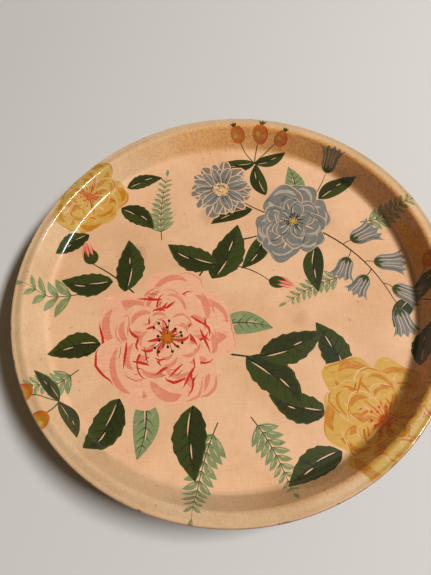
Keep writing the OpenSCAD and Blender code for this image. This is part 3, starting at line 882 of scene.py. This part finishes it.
def close_sheet(sheet, section, rounds):
    """Adds the lower face, and the band round the rim that joins it to the upper face."""
    edges = {(a, b) for corners in sheet.faces for a, b in zip(corners, corners[1:] + corners[:1])}
    rim = sorted((a for a, b in edges if (b, a) not in edges), key=lambda i: cmath.phase(sheet.flats[i]))
    rim_loop = [sheet.flats[i] / abs(sheet.flats[i]) * section.along[-1] for i in rim]
    rings = [ring_points(distance, rounds) for distance in section.along[:-1]]
    places, triangles, _ = triangulated(rings + [rim_loop], [])
    on_rim = {i for i, flat in enumerate(places) if abs(flat) > section.along[-1] - MERGE}
    start = len(sheet.vertices)
    for flat in places:
        sheet.corner(section, flat, -1)
    for triangle in triangles:
        # A triangle between three points of the rim lies outside the loop.
        if not on_rim.issuperset(triangle):
            sheet.face([start + i for i in reversed(triangle)])
    under_rim = [start + i for i in sorted(on_rim, key=lambda i: cmath.phase(places[i]))]
    for k in range(len(rim)):
        ahead = (k + 1) % len(rim)
        sheet.face([rim[ahead], rim[k], under_rim[k], under_rim[ahead]])


def sheet_mesh(sheet, colours):
    """The sheet's mesh, with its ink as a colour attribute and the flat cloth as its UV map."""
    mesh = bpy.data.meshes.new("printed_face")
    mesh.from_pydata(sheet.vertices, [], sheet.faces)
    palette = {None: (*colours.ground, 0.0)}
    for name in {tone for tone in sheet.tones if tone}:
        palette[name] = (*getattr(colours, name), 1.0)
    mesh.color_attributes.new("Ink", "FLOAT_COLOR", "CORNER")
    mesh.uv_layers.new(name="Cloth")
    ink, cloth = mesh.color_attributes["Ink"], mesh.uv_layers["Cloth"]
    for polygon, tone in zip(mesh.polygons, sheet.tones):
        polygon.use_smooth = True
        for loop in polygon.loop_indices:
            flat = sheet.flats[mesh.loops[loop].vertex_index]
            ink.data[loop].color = palette[tone]
            cloth.data[loop].uv = (flat.real, flat.imag)
    mesh.normals_split_custom_set_from_vertices(sheet.normals)
    return mesh


def build_printed_face(form, colours):
    """The printed cloth as one closed sheet."""
    design = Print(colours)
    draw_hips_and_ferns(design)
    draw_yellow_sprays(design)
    draw_blue_spray(design)
    draw_coral_spray(design)
    upper = Section(face_section(form, 0.0, UPPER_STEPS), CLOTH_LOW.z + form.cloth)
    lower = Section(face_section(form, form.cloth, LOWER_STEPS), CLOTH_LOW.z)
    sheet = Sheet()
    cut_upper_face(sheet, upper, form.rounds, design.patches)
    close_sheet(sheet, lower, form.rounds)
    piece = bpy.data.objects.new("printed_face", sheet_mesh(sheet, colours))
    bpy.context.scene.collection.objects.link(piece)
    return piece


# ---- Small hardware ----

# A screw's sides, the length of its tapered point, and the bevel on its edges
SCREW_SIDES = 32
SCREW_POINT = 0.6 * MM
SCREW_BEVEL = 0.07 * MM
# Degrees past which an edge of a screw is bevelled, and past which it is shaded hard
BEVEL_OVER, HARD_OVER = 35, 28
# Degrees at which the first screw of a group stopped, and from each screw to the next
FIRST_TURN, NEXT_TURN = 23, 47
# The recess: its depth as a share of the head's height, and its blades at its floor as shares of
# their reach and width
RECESS_DEPTH = 0.85
RECESS_TAPER = (0.42, 0.7)
# A weld bead's ripples: how many go round it, and how far they swell it
WELD_RIPPLES = ((13, 0.06), (3, 0.07))
# Where a bead was started, in radians round the bar. The two ends mirror each other.
WELD_START = 1.2


def in_place(piece):
    """Moves a piece's place and turn into its mesh."""
    bpy.ops.object.select_all(action="DESELECT")
    piece.select_set(True)
    bpy.context.view_layer.objects.active = piece
    bpy.ops.object.transform_apply(location=True, rotation=True, scale=True)


def model_screw(sizes, radius, length):
    """A countersunk screw with a crossed recess, driven up, its head's face at the origin."""
    bpy.ops.object.select_all(action="DESELECT")
    bpy.ops.mesh.primitive_circle_add(vertices=SCREW_SIDES, radius=radius, fill_type="NGON")
    screw = bpy.context.object
    bpy.ops.object.mode_set(mode="EDIT")
    bpy.ops.mesh.select_all(action="SELECT")
    neck, height, width = sizes.shank / 2, 0.0, radius
    for next_height, next_width in ((sizes.head, neck), (length - SCREW_POINT, neck), (length, neck / 2)):
        bpy.ops.mesh.extrude_region_move(
            TRANSFORM_OT_translate={"value": (0, 0, next_height - height)})
        share = next_width / width
        bpy.ops.transform.resize(value=(share, share, 1), center_override=(0, 0, next_height))
        height, width = next_height, next_width
    bpy.ops.mesh.select_all(action="SELECT")
    bpy.ops.mesh.normals_make_consistent(inside=False)
    bpy.ops.object.mode_set(mode="OBJECT")
    for turn in (0, math.pi / 2):
        cut_recess(screw, sizes, turn)
    rounding = screw.modifiers.new("rounding", "BEVEL")
    rounding.width = SCREW_BEVEL
    rounding.segments = 2
    rounding.angle_limit = math.radians(BEVEL_OVER)
    bpy.context.view_layer.objects.active = screw
    bpy.ops.object.modifier_apply(modifier="rounding")
    return screw


def cut_recess(screw, sizes, turn):
    """Cuts one blade of the crossed recess, which narrows towards its floor."""
    deep = RECESS_DEPTH * sizes.head
    bpy.ops.object.select_all(action="DESELECT")
    bpy.ops.mesh.primitive_cube_add(size=1)
    cutter = bpy.context.object
    bpy.ops.object.mode_set(mode="EDIT")
    bpy.ops.transform.resize(value=(sizes.recess, sizes.blade, 2 * deep), center_override=(0, 0, 0))
    bpy.ops.object.mode_set(mode="OBJECT")
    for vertex in cutter.data.vertices:
        if vertex.co.z > 0:
            vertex.co.x *= RECESS_TAPER[0]
            vertex.co.y *= RECESS_TAPER[1]
    cutter.rotation_euler.z = turn
    cut = screw.modifiers.new("recess", "BOOLEAN")
    cut.operation = "DIFFERENCE"
    cut.object = cutter
    bpy.context.view_layer.objects.active = screw
    bpy.ops.object.modifier_apply(modifier="recess")
    bpy.data.objects.remove(cutter)


def corner_places(low, high, radius):
    """Where a group of screws stands: the corners of its box, each a head's radius inward."""
    # Screws in one row share a coordinate, which a set keeps once.
    across = sorted({round(x, 6) for x in (low.x + radius, high.x - radius)})
    along = sorted({round(y, 6) for y in (low.y + radius, high.y - radius)})
    return [(x, y) for x in across for y in along]


def clip_places(low, high, radius):
    """Where the clips' screws stand: two on each clip, evenly about its middle."""
    places = []
    for clip in ("bar_clip_front", "bar_clip_rear"):
        clip_low, clip_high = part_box(clip)
        middle = (clip_low.y + clip_high.y) / 2
        reach = high.y - radius - abs(middle)
        places += [((low.x + high.x) / 2, middle + way * reach) for way in (-1, 1)]
    return places


def set_screws(screw, name, places, height):
    """Copies a screw to its places, each turned as it happened to stop, and joins the copies."""
    copies = []
    for k, (x, y) in enumerate(places):
        copy = bpy.data.objects.new(name, screw.data.copy())
        bpy.context.scene.collection.objects.link(copy)
        copy.location = (x, y, height)
        copy.rotation_euler.z = math.radians(FIRST_TURN + NEXT_TURN * k)
        in_place(copy)
        copies.append(copy)
    for copy in copies:
        copy.select_set(True)
    bpy.ops.object.join()
    bpy.ops.object.shade_smooth_by_angle(angle=math.radians(HARD_OVER))
    piece = bpy.context.object
    piece.name = name
    return piece


def model_weld(sizes, way):
    """A rippled bead round an end of the stretcher, which follows the leg's round side."""
    bar_low, bar_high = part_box("stretcher")
    leg_low, leg_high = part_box("inner_frame")
    bar, leg = (bar_high.z - bar_low.z) / 2, (leg_high.z - leg_low.z) / 2
    middle = (bar_low + bar_high) / 2
    bpy.ops.object.select_all(action="DESELECT")
    bpy.ops.mesh.primitive_torus_add(major_segments=60, minor_segments=12, major_radius=bar,
                                     minor_radius=sizes.weld / 2, rotation=(math.radians(90), 0, 0))
    weld = bpy.context.object
    in_place(weld)
    for vertex in weld.data.vertices:
        ring = Vector((vertex.co.x, 0, vertex.co.z)).normalized() * bar
        around = math.atan2(ring.z, ring.x) + WELD_START * way
        swell = 1 + sum(share * math.sin(count * around) for count, share in WELD_RIPPLES)
        vertex.co = ring + (vertex.co - ring) * swell
        vertex.co.y += way * (leg_high.y - leg - math.sqrt(leg ** 2 - ring.z ** 2))
        vertex.co += Vector((middle.x, 0, middle.z))
    bpy.ops.object.shade_smooth()
    return weld


# ---- Finishes ----

# From thread to thread of the cloth, and from ply to ply of the core
THREAD_PITCH = 0.62 * MM
PLY_PITCH = 0.8 * MM
BLACK = (0.0, 0.0, 0.0)
# Where the print's ink is washed thin, this shows through it.
THINNED = (0.9, 0.66, 0.44)
# Painted light on the wall's colour: a dimming where the wall faces the key lamp, and warm amber painted as
# bounce light where it faces away, in shade
LIT_WALL_DIMMING, SHADED_WALL_WARM_BOUNCE = (0.84, 0.92, 0.90), (1.18, 0.92, 0.42)
# Fibre that shows in the rim's chips, and along its rubbed edge
CHIPPED, RUBBED = (0.055, 0.022, 0.008), (0.17, 0.085, 0.040)
# Old stains in the floor: place, reach and strength
STAINS = ((-0.092, 0.052, 0.017, 0.35), (-0.012, 0.088, 0.013, 0.25),
          (0.062, -0.036, 0.011, 0.22), (0.128, 0.118, 0.015, 0.25))


def aged_ground(finish, colours, clouds, blotches):
    """The cream ground, browned in clouds, with old stains and specks."""
    flat = finish.flat_place()
    age = finish.ramp(clouds * 0.7 + blotches * 0.3, 0.38, 0.66)
    ground = finish.blend(colours.ground, colours.aged, age * 0.55)
    for x, y, reach, strength in STAINS:
        spread = finish.distance(flat, (x, y, 0)) + (blotches - 0.5) * 0.030
        ground = finish.blend(ground, colours.stain, finish.ramp(spread, reach * 0.3, reach, strength, 0.0))
    specks = finish.ramp(finish.noise(flat, 5.5 * MM, 1.0), 0.735, 0.765)
    return finish.blend(ground, colours.stain, specks * 0.45)


def washed_ink(finish, ink):
    """The ink, which lies unevenly: washed thin in places, and a little deeper where it pooled."""
    streaked = finish.stretched(finish.flat_place(), (1, 2.2, 1), (0, 0, 0.7))
    wash = finish.noise(streaked, 11 * MM, 5.0, 0.62, 0.5)
    pooled = finish.blend(ink, ink, 1.0, "MULTIPLY")
    deep = finish.blend(ink, pooled, finish.ramp(wash, 0.42, 0.30, 0.0, 0.45))
    # A dark ink doesn't pale.
    pale = finish.ramp(wash, 0.54, 0.68, 0.0, 0.5) * finish.ramp(finish.bright(ink), 0.05, 0.3)
    return finish.blend(deep, finish.blend(ink, THINNED, 0.35), pale)


def woven_cloth(finish):
    """The threads where they cross, and the slubs that run along them."""
    flat = finish.flat_place()
    thread = math.tau / THREAD_PITCH
    jitter = finish.noise(flat, 9 * MM, 2.0) * 9.0
    warp = finish.sine(finish.axis(flat, 0) * thread + jitter)
    weft = finish.sine(finish.axis(flat, 1) * thread + jitter)
    slubs = finish.noise(finish.stretched(flat, (1, 9, 1)), 14 * MM, 3.0, 0.6)
    slubs_across = finish.noise(finish.stretched(flat, (9, 1, 1)), 14 * MM, 3.0, 0.6)
    return warp * weft, (slubs + slubs_across) * 0.5


def wall_painted_light_and_grime(finish, form, colour, radius, clouds, grime):
    """Painted light on the wall: dimmed where it faces the key lamp, warm amber bounce light painted in its
    shade, and grime in its pores, darker in that shade.
    """
    wall_foot = TRAY_RADIUS - form.lip - form.wall
    crest = TRAY_RADIUS - form.lip
    wall = finish.ramp(radius, wall_foot - 4 * MM, wall_foot + 4 * MM)
    lip = finish.ramp(radius, crest - 1 * MM, crest + 4 * MM)
    # The mask browned marks where light is painted: 1 on the wall that faces away from the key lamp, in
    # shade, 0 on the wall that faces it. The tint dims the lit side and paints warm bounce light on the
    # shaded side.
    aside = finish.axis(finish.stretched(finish.place(), (1, 1, 1), (0, 0, -0.3)), 0)
    browned = finish.ramp(aside + (clouds - 0.5) * 0.1, -0.08, 0.12) * (1.0 - lip)
    tint = finish.blend(LIT_WALL_DIMMING, SHADED_WALL_WARM_BOUNCE, browned)
    colour = finish.blend(colour, finish.blend(colour, tint, 1.0, "MULTIPLY"), wall)
    # Grime in the wall's pores, darker on the side in shade; that extra darkening is painted shade.
    grime_and_painted_shade = finish.ramp(grime, 0.56, 0.40) * wall * (0.25 + browned * 0.75)
    return finish.blend(colour, BLACK, grime_and_painted_shade * 0.35)


def fine_scratches(finish):
    """Hairline scratches in two directions."""
    flat = finish.flat_place()
    hair = finish.noise(finish.stretched(flat, (1, 26, 1), (0, 0, 0.5)), 40 * MM, 2.0, 0.5)
    hair_across = finish.noise(finish.stretched(flat, (24, 1, 1), (0, 0, 0.9)), 46 * MM, 2.0, 0.5)
    return finish.ramp(hair, 0.742, 0.752) + finish.ramp(hair_across, 0.75, 0.76)


def printed_finish(form, colours):
    """Ink and cream ground in a woven cloth, browned by age, under clear resin."""
    finish = Finish("printed_cloth_in_resin", specular_ior_level=0.2, coat_roughness=0.06, coat_ior=1.5)
    flat = finish.flat_place()
    place = finish.place()
    ink = finish.add("ShaderNodeAttribute", {"attribute_name": "Ink"}, {}, "Color")
    cover = finish.add("ShaderNodeAttribute", {"attribute_name": "Ink"}, {}, "Alpha")
    weave, cloth = woven_cloth(finish)
    fine = finish.noise(flat, 1.6 * MM, 3.0, 0.7)
    clouds = finish.noise(flat, 95 * MM, 3.0, 0.55)
    blotches = finish.noise(flat, 22 * MM, 4.0, 0.6)
    grime = finish.noise(place, 2.2 * MM, 4.0, 0.75)
    radius = finish.distance(finish.stretched(place, (1, 1, 0)), (0, 0, 0))

    worn = finish.ramp(fine * 0.6 + cloth * 0.4, 0.62, 0.74)
    colour = finish.blend(aged_ground(finish, colours, clouds, blotches), washed_ink(finish, ink),
                          cover * (1.0 - worn * 0.35))
    threads = 0.5 + weave * 0.10 + (cloth - 0.5) * 0.55
    colour = finish.blend(colour, BLACK, finish.ramp(threads, 0.62, 0.35) * 0.16)
    # Paints light on the wall: the side facing the key lamp dimmed, the side in shade warm amber, with pore
    # grime darker there.
    colour = wall_painted_light_and_grime(finish, form, colour, radius, clouds, grime)

    # Along the rim the resin is thin, chipped and rubbed through.
    rim = finish.ramp(radius, TRAY_RADIUS - 3.5 * MM, TRAY_RADIUS - 0.4 * MM)
    edge = finish.ramp(radius, TRAY_RADIUS - 1.3 * MM, TRAY_RADIUS - 0.3 * MM)
    chips = finish.ramp(finish.noise(place, 13 * MM, 3.0, 0.7) + rim * 0.16, 0.725, 0.755) * rim
    colour = finish.blend(colour, CHIPPED, chips)
    colour = finish.blend(colour, colours.aged, rim * 0.35)
    colour = finish.blend(colour, RUBBED, edge * finish.ramp(grime, 0.30, 0.60, 0.45, 0.80))

    scratches = fine_scratches(finish)
    smears = finish.noise(flat, 60 * MM, 4.0, 0.6)
    ripples = finish.noise(flat, 16 * MM, 2.0, 0.4)
    height = ripples * 0.9 + weave * 0.04 + fine * 0.05 - scratches * 0.15 - chips * 1.5
    finish.feed(base_color=colour,
                roughness=finish.ramp(smears, 0.3, 0.7, 0.36, 0.50) + scratches * 0.2,
                coat_weight=finish.ramp(smears, 0.3, 0.75, 0.85, 0.60) - chips * 0.4,
                normal=finish.bump(height, 0.12 * MM, 0.5))
    return finish.material


def core_finish(colours):
    """Brown pressed fibre in thin plies."""
    finish = Finish("pressed_core", specular_ior_level=0.4)
    place = finish.place()
    fibres = finish.noise(finish.stretched(place, (1, 1, 6)), 3 * MM, 5.0, 0.65)
    plies = finish.sine(finish.axis(place, 2) * (math.tau / PLY_PITCH) + fibres * 2.0)
    tone = finish.ramp(fibres + plies * 0.12, 0.3, 0.75)
    finish.feed(base_color=finish.blend(colours.core_dark, colours.core, tone),
                roughness=finish.ramp(fibres, 0.3, 0.7, 0.42, 0.62),
                normal=finish.bump(fibres + plies * 0.2, 0.15 * MM, 0.6))
    return finish.material


def backing_finish(colours):
    """Plain brown resin sheet with a pressed grain and rub marks."""
    finish = Finish("backing_sheet", specular_ior_level=0.5)
    place = finish.place()
    grain = finish.noise(place, 1.4 * MM, 3.0, 0.6)
    mottle = finish.noise(place, 18 * MM, 5.0, 0.6, 0.4)
    streaked = finish.stretched(place, (1, 12, 1), (0, 0, 0.35))
    rubs = finish.ramp(finish.noise(streaked, 60 * MM, 3.0), 0.60, 0.70)
    tone = finish.blend(colours.backing_dark, colours.backing, finish.ramp(mottle, 0.3, 0.7))
    finish.feed(base_color=finish.blend(tone, colours.backing_rubbed, rubs * 0.35),
                roughness=finish.ramp(mottle + grain * 0.3, 0.4, 0.9, 0.34, 0.52) + rubs * 0.15,
                normal=finish.bump(grain, 0.05 * MM, 0.4))
    return finish.material


def enamel_finish(colours):
    """Black stove enamel with a faint orange peel, rubbed to grey steel in small spots."""
    finish = Finish("black_enamel", specular_ior_level=0.5, coat_roughness=0.15)
    place = finish.place()
    peel = finish.noise(place, 1.8 * MM, 2.0, 0.4)
    dust = finish.noise(place, 26 * MM, 4.0, 0.6)
    nicks = finish.ramp(finish.noise(place, 4.2 * MM, 4.0, 0.75), 0.735, 0.75)
    black = finish.blend(colours.enamel, colours.enamel_dusty, dust)
    finish.feed(base_color=finish.blend(black, colours.enamel_nicked, nicks),
                metallic=nicks,
                roughness=finish.ramp(dust, 0.3, 0.7, 0.24, 0.38) + nicks * 0.15,
                coat_weight=0.5 - nicks * 0.5,
                normal=finish.bump(peel - nicks * 1.2, 0.06 * MM, 0.5))
    return finish.material


def plated_finish(name, tint, dull):
    """Bright plating over pressed steel, with a fine rolled grain and dull spots."""
    finish = Finish(name, metallic=1.0)
    place = finish.place()
    grain = finish.noise(finish.stretched(place, (1, 14, 14)), 5 * MM, 3.0, 0.6)
    tarnish = finish.ramp(finish.noise(place, 3.5 * MM, 4.0, 0.7), 0.42, 0.70)
    finish.feed(base_color=finish.blend(tint, [c * 0.55 for c in tint], tarnish * 0.6),
                roughness=finish.ramp(grain, 0.3, 0.7, dull, dull + 0.14) + tarnish * 0.12,
                normal=finish.bump(grain, 0.03 * MM, 0.5))
    return finish.material


def rubber_finish(colours):
    """Moulded black rubber, greyed in scuffed patches."""
    finish = Finish("foot_rubber", specular_ior_level=0.35)
    place = finish.place()
    grit = finish.noise(place, 0.7 * MM, 3.0, 0.7)
    scuff = finish.ramp(finish.noise(place, 6 * MM, 4.0, 0.7), 0.45, 0.72)
    finish.feed(base_color=finish.blend(colours.rubber, colours.rubber_scuffed, scuff * 0.7),
                roughness=finish.ramp(scuff, 0.0, 1.0, 0.58, 0.82),
                normal=finish.bump(grit, 0.08 * MM, 0.6))
    return finish.material


def nylon_finish(colours):
    """Natural nylon, slightly yellowed."""
    finish = Finish("natural_nylon", specular_ior_level=0.5)
    place = finish.place()
    cloud = finish.noise(place, 3 * MM, 3.0, 0.6)
    finish.feed(base_color=finish.blend(colours.nylon, colours.nylon_aged, cloud),
                roughness=finish.ramp(cloud, 0.3, 0.7, 0.38, 0.5),
                normal=finish.bump(cloud, 0.04 * MM, 0.4))
    return finish.material


def dress(node, material):
    """Gives a node of the solid model its finish."""
    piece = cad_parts[node]
    piece.data.materials.clear()
    piece.data.materials.append(material)


# ---- Stage ----

def place_camera(scene, stage):
    """The camera, which looks down at the tray from in front."""
    bpy.ops.object.camera_add(location=stage.place, rotation=stage.turn)
    scene.camera = bpy.context.object
    scene.camera.data.lens = stage.focal
    scene.camera.data.clip_start = 0.01


def hang_key_lamp(stage):
    """The long lamp that the tray's gloss shows, aimed at the tray."""
    high, turn = stage.key_height, stage.key_turn
    towards = Vector((math.cos(high) * math.cos(turn), math.cos(high) * math.sin(turn), math.sin(high)))
    bpy.ops.object.light_add(type="AREA", location=towards * stage.key_distance)
    key = bpy.context.object
    key.rotation_euler = towards.to_track_quat("Z", "Y").to_euler()
    key.data.shape = "RECTANGLE"
    key.data.size = stage.key_width
    key.data.size_y = stage.key_depth
    key.data.energy = stage.key_power


def light_all_round(scene, stage):
    """Soft warm light, and a pale backdrop. A gloss sees it too, but overhead only the soft light."""
    world = bpy.data.worlds.new("studio")
    scene.world = world
    world.use_nodes = True
    sky = Nodes(world.node_tree)
    soft_light = [c * stage.fill for c in stage.warmth]
    height = sky.axis(sky.add("ShaderNodeTexCoord", {}, {}, "Generated"), 2)
    overhead = sky.ramp(height, 0.2, 0.8) * (1.0 - sky.rays("Camera"))
    shown = sky.blend(stage.backdrop, soft_light, overhead)
    colour = sky.blend(soft_light, shown, sky.backdrop_rays())
    light = sky.add("ShaderNodeBackground", {}, {"Color": colour, "Strength": 1.0})
    sky.add("ShaderNodeOutputWorld", {}, {"Surface": light})


def lay_floor(stage):
    """A pale floor that turns into the backdrop far out, and keeps the table's shadow near it."""
    # It follows the foot bar's sleeves down, so that the open table stands on it.
    sleeve_low, sleeve_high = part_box("foot_sleeve_front")
    foot_radius = (sleeve_high.z - sleeve_low.z) / 2
    bpy.ops.object.empty_add(location=((sleeve_low.x + sleeve_high.x) / 2, 0, foot_radius))
    foot_level = bpy.context.object
    foot_level.name = "foot_level"
    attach(foot_level, "outer_leg_frame")

    bpy.ops.mesh.primitive_plane_add(size=FLOOR_SIZE, location=(0, 0, -foot_radius))
    floor = bpy.context.object
    floor.name = "floor"
    bpy.ops.object.constraint_add(type="COPY_LOCATION")
    follow = floor.constraints[0]
    follow.target = foot_level
    follow.use_x = follow.use_y = False
    follow.use_offset = True

    finish = Finish("pale_floor", specular_ior_level=0.2)
    soft = finish.noise(finish.place(), 0.4, 2.0)
    finish.feed(base_color=finish.blend(stage.floor, [c * 0.97 for c in stage.floor], soft),
                roughness=finish.ramp(soft, 0.0, 1.0, 0.85, 0.95))
    far = finish.ramp(finish.distance(finish.place(), (0, 0, 0)), FLOOR_SIZE * 0.06, FLOOR_SIZE * 0.22)
    glow = finish.add("ShaderNodeEmission", {}, {"Color": stage.backdrop, "Strength": 1.0})
    finish.show(finish.add("ShaderNodeMixShader", {}, {0: far * finish.backdrop_rays(),
                                                       1: finish.shader, 2: glow}))
    floor.data.materials.append(finish.material)


# ---- Operators ----

class TRAYTABLE_OT_stage(bpy.types.Operator):
    """Set the camera, the lamps and the pale floor"""
    bl_idname = "traytable.stage"
    bl_label = "Stage"

    def execute(self, context):
        stage = context.scene.tray_stage
        context.scene.view_settings.view_transform = "Standard"
        bpy.ops.object.select_all(action="DESELECT")
        place_camera(context.scene, stage)
        hang_key_lamp(stage)
        light_all_round(context.scene, stage)
        lay_floor(stage)
        return {"FINISHED"}


class TRAYTABLE_OT_printed_face(bpy.types.Operator):
    """Draw the print and lay it over the tray's floor, wall and lip"""
    bl_idname = "traytable.printed_face"
    bl_label = "Printed Face"

    def execute(self, context):
        scene = context.scene
        piece = build_printed_face(scene.tray_form, scene.tray_print)
        piece.data.materials.append(printed_finish(scene.tray_form, scene.tray_print))
        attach(piece, "tray")
        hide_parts("printed_cloth")
        return {"FINISHED"}


class TRAYTABLE_OT_tray_body(bpy.types.Operator):
    """Finish the pressed core and the backing sheet"""
    bl_idname = "traytable.tray_body"
    bl_label = "Core and Backing"

    def execute(self, context):
        colours = context.scene.tray_finishes
        dress("tray_core", core_finish(colours))
        dress("backing_sheet", backing_finish(colours))
        return {"FINISHED"}


class TRAYTABLE_OT_leg_frames(bpy.types.Operator):
    """Enamel the leg frames"""
    bl_idname = "traytable.leg_frames"
    bl_label = "Leg Frames"

    def execute(self, context):
        enamel = enamel_finish(context.scene.tray_finishes)
        for node in ("outer_frame", "inner_frame", "stretcher"):
            dress(node, enamel)
        return {"FINISHED"}


class TRAYTABLE_OT_hardware(bpy.types.Operator):
    """Plate the brackets and pins, and finish the springs and bushes"""
    bl_idname = "traytable.hardware"
    bl_label = "Hardware"

    def execute(self, context):
        colours = context.scene.tray_finishes
        plated = plated_finish("bright_plating", colours.plating, 0.24)
        spring = plated_finish("grey_spring_steel", colours.spring, 0.30)
        for node in ("pivot_bracket_front", "pivot_bracket_rear", "pivot_rivet_front", "pivot_rivet_rear",
                     "crossing_rivet_front", "crossing_rivet_rear"):
            dress(node, plated)
        for node in ("bar_clip_front", "bar_clip_rear", "storage_catch"):
            dress(node, spring)
        nylon = nylon_finish(colours)
        for node in ("spacer_bush_front", "spacer_bush_rear"):
            dress(node, nylon)
        return {"FINISHED"}


class TRAYTABLE_OT_screws(bpy.types.Operator):
    """Model the screws on the underside"""
    bl_idname = "traytable.screws"
    bl_label = "Screws"

    def execute(self, context):
        zinc = plated_finish("zinc_plating", context.scene.tray_finishes.zinc, 0.30)
        low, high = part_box("catch_screws")
        radius, length = (high.y - low.y) / 2, high.z - low.z
        screw = model_screw(context.scene.tray_hardware, radius, length)
        for node, places in (("bracket_screws", corner_places), ("catch_screws", corner_places),
                             ("clip_screws", clip_places)):
            low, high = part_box(node)
            piece = set_screws(screw, f"{node}_driven", places(low, high, radius), low.z)
            piece.data.materials.append(zinc)
            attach(piece, "tray")
            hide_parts(node)
        bpy.data.objects.remove(screw)
        return {"FINISHED"}


class TRAYTABLE_OT_welds(bpy.types.Operator):
    """Weld the stretcher's ends to the inner frame's legs"""
    bl_idname = "traytable.welds"
    bl_label = "Welds"

    def execute(self, context):
        enamel = enamel_finish(context.scene.tray_finishes)
        for name, way in (("weld_front", -1), ("weld_rear", 1)):
            piece = model_weld(context.scene.tray_hardware, way)
            piece.name = name
            piece.data.materials.append(enamel)
            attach(piece, "inner_leg_frame")
        return {"FINISHED"}


class TRAYTABLE_OT_feet(bpy.types.Operator):
    """Finish the rubber feet"""
    bl_idname = "traytable.feet"
    bl_label = "Feet"

    def execute(self, context):
        rubber = rubber_finish(context.scene.tray_finishes)
        for node in ("foot_sleeve_front", "foot_sleeve_rear", "foot_cap_front", "foot_cap_rear"):
            dress(node, rubber)
        return {"FINISHED"}


class TRAYTABLE_PT_panel(bpy.types.Panel):
    """Sizes, colours and pieces of the tray table"""
    bl_label = "Tray Table"
    bl_idname = "TRAYTABLE_PT_panel"
    bl_space_type = "VIEW_3D"
    bl_region_type = "UI"
    bl_category = "Tray Table"

    def draw(self, context):
        for setting in SETTINGS:
            group = getattr(context.scene, setting)
            box = self.layout.box()
            for name in group.__annotations__:
                box.prop(group, name)
        for operator in OPERATORS:
            self.layout.operator(operator.bl_idname)


SETTINGS = {"tray_form": TrayFormSettings, "tray_print": PrintSettings, "tray_finishes": FinishSettings,
            "tray_hardware": HardwareSettings, "tray_stage": StageSettings}
OPERATORS = (TRAYTABLE_OT_stage, TRAYTABLE_OT_printed_face, TRAYTABLE_OT_tray_body, TRAYTABLE_OT_leg_frames,
             TRAYTABLE_OT_welds, TRAYTABLE_OT_hardware, TRAYTABLE_OT_screws, TRAYTABLE_OT_feet)
CLASSES = (*SETTINGS.values(), *OPERATORS, TRAYTABLE_PT_panel)


def register():
    for cls in CLASSES:
        bpy.utils.register_class(cls)
    for name, group in SETTINGS.items():
        setattr(bpy.types.Scene, name, PointerProperty(type=group))


def unregister():
    for name in SETTINGS:
        delattr(bpy.types.Scene, name)
    for cls in reversed(CLASSES):
        bpy.utils.unregister_class(cls)


def main():
    register()
    bpy.ops.traytable.stage()
    bpy.ops.traytable.printed_face()
    bpy.ops.traytable.tray_body()
    bpy.ops.traytable.leg_frames()
    bpy.ops.traytable.welds()
    bpy.ops.traytable.hardware()
    bpy.ops.traytable.screws()
    bpy.ops.traytable.feet()


if __name__ == "__main__":
    main()
